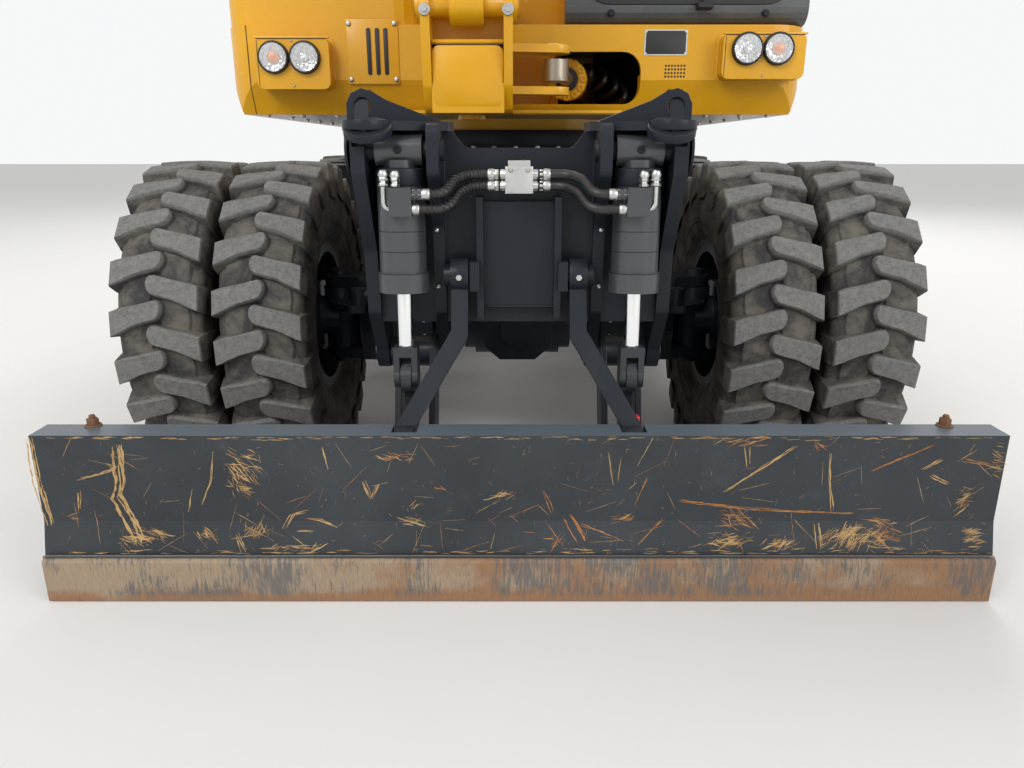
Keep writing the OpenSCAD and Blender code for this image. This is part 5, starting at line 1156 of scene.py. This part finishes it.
# ---------------------------------------------------------------- wheels and axles
# Outer edge of the outer rim, from the disc
RIM_EDGE = 249
for end, wy in AXLES.items():
    for side, s in SIDES.items():
        body = f"wheel_{end}_{side}"
        m = aimed((s * DISC_X, wy, AXLE_Z), (s * (DISC_X + 100), wy, AXLE_Z))
        nuts, hub, dark = parts(body, **{f"{body}_nuts": DARK, f"{body}_hub_screws": ZINC, f"{body}_recesses": GROOVE})
        for turn in spokes(10):
            spot = m @ turn @ slid(190, 0, 0)
            nuts.add(bolt(30, 20), spot @ slid(0, 0, 4))
            nuts.add(lathe([(9, 20), (9, 38), (7.5, 40), (0.1, 40)], 12), spot)
        for turn in spokes(8, 0.5):
            hub.add(bolt(17, 9), m @ turn @ slid(82, 0, 160))
        hub.add(lathe([(18, 160), (18, 168), (15, 171), (8, 171), (7, 166), (0.1, 166)], 20), m)
        # Planet carrier's joint with a near-black ring of painted shade in it, and the flange's ribs
        nuts.add(lathe([(150.5, 84), (158, 86), (158, 104), (150.5, 106)], 56, True), m)
        dark.add(lathe([(150.4, 95), (151.2, 96), (150.4, 97)], 56, True), m)
        for turn in spokes(12):
            nuts.add(box(44, 10, 16, 3), m @ turn @ slid(150, 0, 60) @ turned(90, "Y"))
        # Lock ring and valve on the outer rim
        ring = ((257, -1), (270, -1), (272, 4), (268, 9), (258, 9))
        nuts.add(lathe([(r, RIM_EDGE + z) for r, z in ring], 64, True), m)
        nuts.add(pipe([(236, 20, RIM_EDGE - 60), (232, 22, RIM_EDGE - 20), (236, 24, RIM_EDGE + 16)], 5, 8), m)
        hub.add(lathe([(5.5, 0), (5.5, 14), (4, 16), (0.1, 16)], 12), m @ slid(236, 24, RIM_EDGE + 14))
axle_dark, axle_zinc = parts("undercarriage", axle_details=DARK, axle_screws=ZINC)
for wy, half in zip(AXLES.values(), (300, 420)):
    for s in (-1, 1):
        flange = aimed((s * half, wy, AXLE_Z), (s * (half + 50), wy, AXLE_Z))
        axle_dark.add(lathe([(90, 0), (112, 0), (114, 3), (114, 25), (112, 28), (90, 28)], 40, True), flange)
        for turn in spokes(10):
            axle_zinc.add(bolt(13, 7), flange @ turn @ slid(103, 0, 28))

# ---------------------------------------------------------------- boom and arm
BOOM_T, ARM_T = 3900.0, 1950.0
boom_m = along_link((-1290.0, 1960.0), 42)
arm_foot = to_mm(boom_m @ Vector((0, BOOM_T, 0)))
arm_m = along_link(arm_foot.yz, -70)
# Retaining plate and screw on both ends of each cross pin: y, z, half length, radius
for name, link_m, pins in (
        ("boom", boom_m, ((BOOM_T, 0, 148, 44), (1400, 215, 102, 42), (2450, 690, 106, 36))),
        ("arm", arm_m, ((-400, 90, 103, 38), (1530, 0, 140, 34), (ARM_T, 0, 140, 36), (80, 300, 98, 34)))):
    plates, screws = parts(name, **{f"{name}_pin_plates": YELLOW, f"{name}_pin_screws": ZINC})
    for y, z, half, r in pins:
        for s in (-1, 1):
            spot = link_m @ slid(s * half, y, z) @ turned(90 * s, "Y")
            plates.add(lathe([(r, -1), (r, 5), (r - 3, 8), (r * 0.4, 8), (r * 0.35, 4), (0.1, 4)], 36), spot)
            screws.add(bolt(r * 0.36, r * 0.2), spot @ slid(0, 0, 4))
# Pipes along the boom's sides with their clamps, hoses at their ends and weld lines
lines, clamps, clamp_screws, weld_line, hose = parts(
    "boom", boom_pipes=DARK, boom_clamps=DARK, boom_clamp_screws=ZINC, boom_welds=YELLOW, boom_hoses=HOSE)
SEAM = ((60, 120), (500, 360), (1000, 618), (1400, 732), (1700, 715), (2300, 520), (3300, 215))
# y, z and slope of the boom's side where a clamp sits
CLAMPS = ((560, 312, 24), (1050, 507, 20), (1500, 588, 0), (2050, 488, -16), (2600, 318, -17), (3000, 192, -17))
for s in (-1, 1):
    for k in range(2):
        run = ((330 - 34 * k, 190 - 4 * k), (800, 400), (1300, 560), (1700, 560), (2500, 330), (3150, 130))
        lines.add(pipe(spline([(s * 132, y, z + 34 * k) for y, z in run]), 11, 10), boom_m)
    for y, z, tilt in CLAMPS:
        m = boom_m @ slid(s * 118, y, z) @ turned(tilt, "X") @ turned(90 * s, "Y")
        clamps.add(box(86, 30, 27, 3), m)
        for x in (-s * 34, s * 34):
            clamp_screws.add(bolt(13, 7), m @ slid(x, 0, 27))
    weld_line.add(pipe(spline([(s * 118, y, z) for y, z in SEAM]), 4.5, 6), boom_m)
    end = [(s * x, y, z) for x, y, z in ((132, 3150, 130), (140, 3300, 112), (138, 3420, 118), (106, 3470, 150))]
    hose.add(pipe(spline(end), 12, 10), boom_m)

# ---------------------------------------------------------------- house, tail and sides
HW, TOP, TAIL = 1130.0, 2283.0, 1600.0
rear_gap, rear_zinc, rear_black, tail_lens, tail_amber = parts(
    "upper", rear_gaps=GROOVE, rear_screws=ZINC, rear_dark_parts=BLACK, rear_lamp_lenses=RED, rear_lamp_amber=AMBER)
# Tail lamps and screws round the counterweight
for s in (-1, 1):
    a = radians(58)
    x, y = s * TAIL * cos(a), TAIL * sin(a)
    face = at(x, y, 1440, Matrix.Rotation(atan2(y, x) + pi / 2, 4, "Z") @ turned(90, "X"))
    rear_black.add(slab(250, 96, 16, 14, 3), face)
    tail_lens.add(slab(150, 76, 12, 8, 3), face @ slid(-38, 0, 13))
    tail_amber.add(slab(70, 76, 12, 8, 3), face @ slid(78, 0, 13))
    for dx in (-112, 112):
        rear_zinc.add(lathe([(5, 0), (4.6, 2), (2, 3)], 12), face @ slid(dx, 0, 14))
    for z in (1330, 1800):
        b = radians(70)
        x, y = s * TAIL * cos(b), TAIL * sin(b)
        rear_zinc.add(bolt(30, 16), aimed((x, y, z), (2 * x, 2 * y, z)))
# Louvres of the engine bay and the seams of the side walls, their openings and seams near-black as painted shade
for face, s in reversed(SIDES.items()):
    wall = s * (HW - 10)
    for i in range(9):
        rear_gap.add(slab(300, 9, 4.4, 0.8, 0.3), on(face, wall, 880, 1640 + 24 * i))
        up_yellow.add(slab(306, 5, 2.4, 4, 1.5), on(face, wall, 880, 1647 + 24 * i))
    for y in (640, 1130):
        rear_gap.add(slab(3, 250, 1.4, 0.6), on(face, wall, y, 1735))
    for y in (660, 1110):
        for z in (1625, 1855):
            rear_zinc.add(lathe([(9, 0), (8.4, 3.4), (5, 5), (2.4, 5), (2.2, 3), (0.1, 3)], 16), on(face, wall, y, z))
# Latches of the side door and of the hood
latch = Part("side_door_latch", "side_door", BLACK)
latch.add(slab(46, 110, 12, 6, 2), on("right", -HW + 2, -490, 1900))
latch.add(slab(26, 84, 9, 12, 4), on("right", -HW - 3, -490, 1904))
latch.add(lathe([(9, 0), (9, 4), (7, 5), (0.1, 5)], 16), on("right", -HW - 3, -490, 1862))
hood_latch = Part("hood_latches", "hood", BLACK)
for x in (-420, 420):
    hood_latch.add(box(120, 34, 26, 6), on("back", x, 1440, 1935))
# Fuel and fill caps, and anti-slip strips on the housing's top
cap = Part("tank_caps", "upper", BLACK)
cap.add(lathe([(58, 0), (58, 12), (52, 14), (52, 34), (46, 40), (0.1, 41)], 40), on("top", -900, -120, TOP))
cap.add(lathe([(44, 0), (44, 8), (38, 10), (38, 26), (33, 31), (0.1, 32)], 36), on("top", -560, -60, TOP))
for x in (-960, -760, -560):
    cap.add(slab(110, 360, 10, 2.4, 0.8), on("top", x, -520, TOP))
exhaust = Part("exhaust", "hood", DARK)
exhaust.add(lathe([(62, -30), (62, 0), (44, 4), (44, 180), (46, 184), (42, 188), (38, 186), (38, 20)], 36, True),
            on("top", -640, 900, 2287))
# Mirrors, cab roof lamps, beacon and door seals
mirror = Part("mirror_glass", "upper", CHROME)
mirror.add(slab(158, 246, 24, 2, 0.8), on("back", -HW + 40, -1060, TOP + 145))
mirror.add(slab(112, 256, 20, 2, 0.8), on("back", CX1 + 35, CY - 60, CZ1 - 480))
for x in (CX0 + 175, CX1 - 165):
    lamp_back.add(slab(92, 70, 9, 3, 1), on("front", x, CY + 200, CZ1 + 45))
    lamp_lens.add(slab(94, 72, 10, 6, 2.5), on("front", x, CY + 197, CZ1 + 45))
    for face, s in SIDES.items():
        up_zinc.add(bolt(16, 8), on(face, x + 55 * s, CY + 235, CZ1 + 45))
beacon = on("top", CX0 + 220, CY + 1180, CZ1)
lamp_amber.add(lathe([(52, 22), (52, 70), (46, 92), (30, 104), (0.1, 108)], 36), beacon)
up_dark.add(lathe([(60, 0), (60, 16), (54, 22), (0.1, 22)], 36), beacon)
door_seal = Part("cab_door_seal", "cab_door", BLACK)
for z0, z1 in ((CZ0 + 150, CZ0 + 560), (CZ0 + 630, CZ1 - 176)):
    w, h = 582, z1 - z0
    door_seal.add(holed(rounded(w + 24, h + 24, 66, 6), [rounded(w - 20, h - 20, 52, 6)], 5, 2),
                  on("left", CX1 + 8, CY + 505, (z0 + z1) / 2))
door_seal.add(slab(60, 120, 14, 6, 2), on("left", CX1 + 8, CY + 226, CZ0 + 595))
# Grating on the steps
treads = Part("step_treads", "undercarriage", ZINC)
stud = lathe([(10, 0), (10, 2), (8, 3.4), (5, 3.4), (4, 1.4), (0.1, 1.4)], 12)
for z in (330, 600, 860):
    for s in (-1, 1):
        for i in range(4):
            for j in range(9):
                treads.add(stud, on("top", s * (992 + 48 * i), -500 + 57 * j, z + 30))


# ---------------------------------------------------------------- driver's seat
PIECES_PER_TURN, SQUARENESS = 56, 0.42
# Scale and height up a cushion: shares of its side's height, then of its crown
SIDE_LEVELS = ((0.9, 0), (0.965, 0.08), (1, 0.35), (1, 0.6), (0.975, 0.86), (0.92, 1))
CROWN_LEVELS = ((0.78, 0.5), (0.55, 0.82), (0.3, 0.96), (0.02, 1))


def outline(w, d, k, z):
    """Loop of a cushion whose sides pull in between the corners."""
    loop = []
    for c, s in around(PIECES_PER_TURN):
        pull = k * (1 - 0.022 * (1 - 2 * abs(s * c))) / 2
        loop.append((w * pull * copysign(abs(c) ** SQUARENESS, c), d * pull * copysign(abs(s) ** SQUARENESS, s), z))
    return loop


for name, w, d, h, crown_h, where in (
        ("seat_cushion", 492, 500, 66, 20, on("top", 645, -141, 1993)),
        ("seat_back", 452, 610, 34, 22, on("front", 645, 101, 2330, tilt=-9.75)),
        ("seat_headrest", 260, 150, 60, 14, on("front", 645, 158, 2700, tilt=-9.75))):
    levels = [(k, share * h) for k, share in SIDE_LEVELS] + [(k, h + share * crown_h) for k, share in CROWN_LEVELS]
    Part(name, "upper", CLOTH, smooth=60).add(loft([outline(w, d, k, z) for k, z in levels]), where)
    seam = outline(w, d, 1.006, 0.5 * h)
    Part(name + "_piping", "upper", BLACK).add(pipe([*seam, seam[0]], 3.5, 8), where)

# ---------------------------------------------------------------- stage and light
FLOOR_TINT = (0.72, 0.71, 0.69)
n = Nodes("floor", FLOOR_TINT, 0.9, spec=0.0)
paint = n.finish(n.mix(n.noise(3, 4), [c * 0.97 for c in FLOOR_TINT], FLOOR_TINT))
floor = shown("floor", [(-60, -60, 0), (60, -60, 0), (60, 60, 0), (-60, 60, 0)], [(0, 1, 2, 3)], paint)
floor.location.z = -0.002

scene.world = world = bpy.data.worlds.new("world")
world.use_nodes = True
wt = world.node_tree
wt.nodes.clear()


def sky(kind, inputs=(), **values):
    """A node of the world. Its first inputs are linked, the named ones get values."""
    node = wt.nodes.new("ShaderNode" + kind)
    for socket, source in zip(node.inputs, inputs):
        wt.links.new(source, socket)
    for key, value in values.items():
        node.inputs[key.replace("_", " ")].default_value = value
    return node


# Pale to the camera, in mirrors and through glass; dimmer and graded where it lights the machine
seen = sky("LightPath").outputs
direct = sky("Math", (seen["Is Camera Ray"], seen["Is Glossy Ray"]))
through = sky("Math", (direct.outputs[0], seen["Is Transmission Ray"]))
direct.operation = through.operation = "MAXIMUM"
height = sky("SeparateXYZ", (sky("TexCoord").outputs["Generated"],)).outputs["Z"]
grade = sky("MapRange", (height,), From_Min=-0.1, From_Max=0.9, To_Min=0.42, To_Max=0.95)
lit = sky("Background", Color=(0.97, 0.985, 1.0, 1))
wt.links.new(grade.outputs[0], lit.inputs["Strength"])
pale = sky("Background", Color=(0.93, 0.935, 0.94, 1))
sky("OutputWorld", (sky("MixShader", (through.outputs[0], lit.outputs[0], pale.outputs[0])).outputs[0],))
LIGHTS_AIM = Vector((0, -0.3, 0.8))
for name, place, size, power in (("key", (-6.0, -9.0, 9.0), (6, 6), 900), ("fill", (8.0, -7.0, 5.0), (6, 5), 420),
                                 ("rim", (2.0, 10.0, 9.0), (8, 5), 700)):
    data = bpy.data.lights.new(name, "AREA")
    data.shape = "RECTANGLE"
    data.size, data.size_y = size
    data.energy = power
    ob = bpy.data.objects.new(name, data)
    scene.collection.objects.link(ob)
    ob.location = place
    ob.rotation_euler = (LIGHTS_AIM - Vector(place)).to_track_quat("-Z", "Y").to_euler()

for p in Part.made:
    built = p.build()
    if p.name == "blade_hose_sleeves":
        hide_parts("blade_hoses")
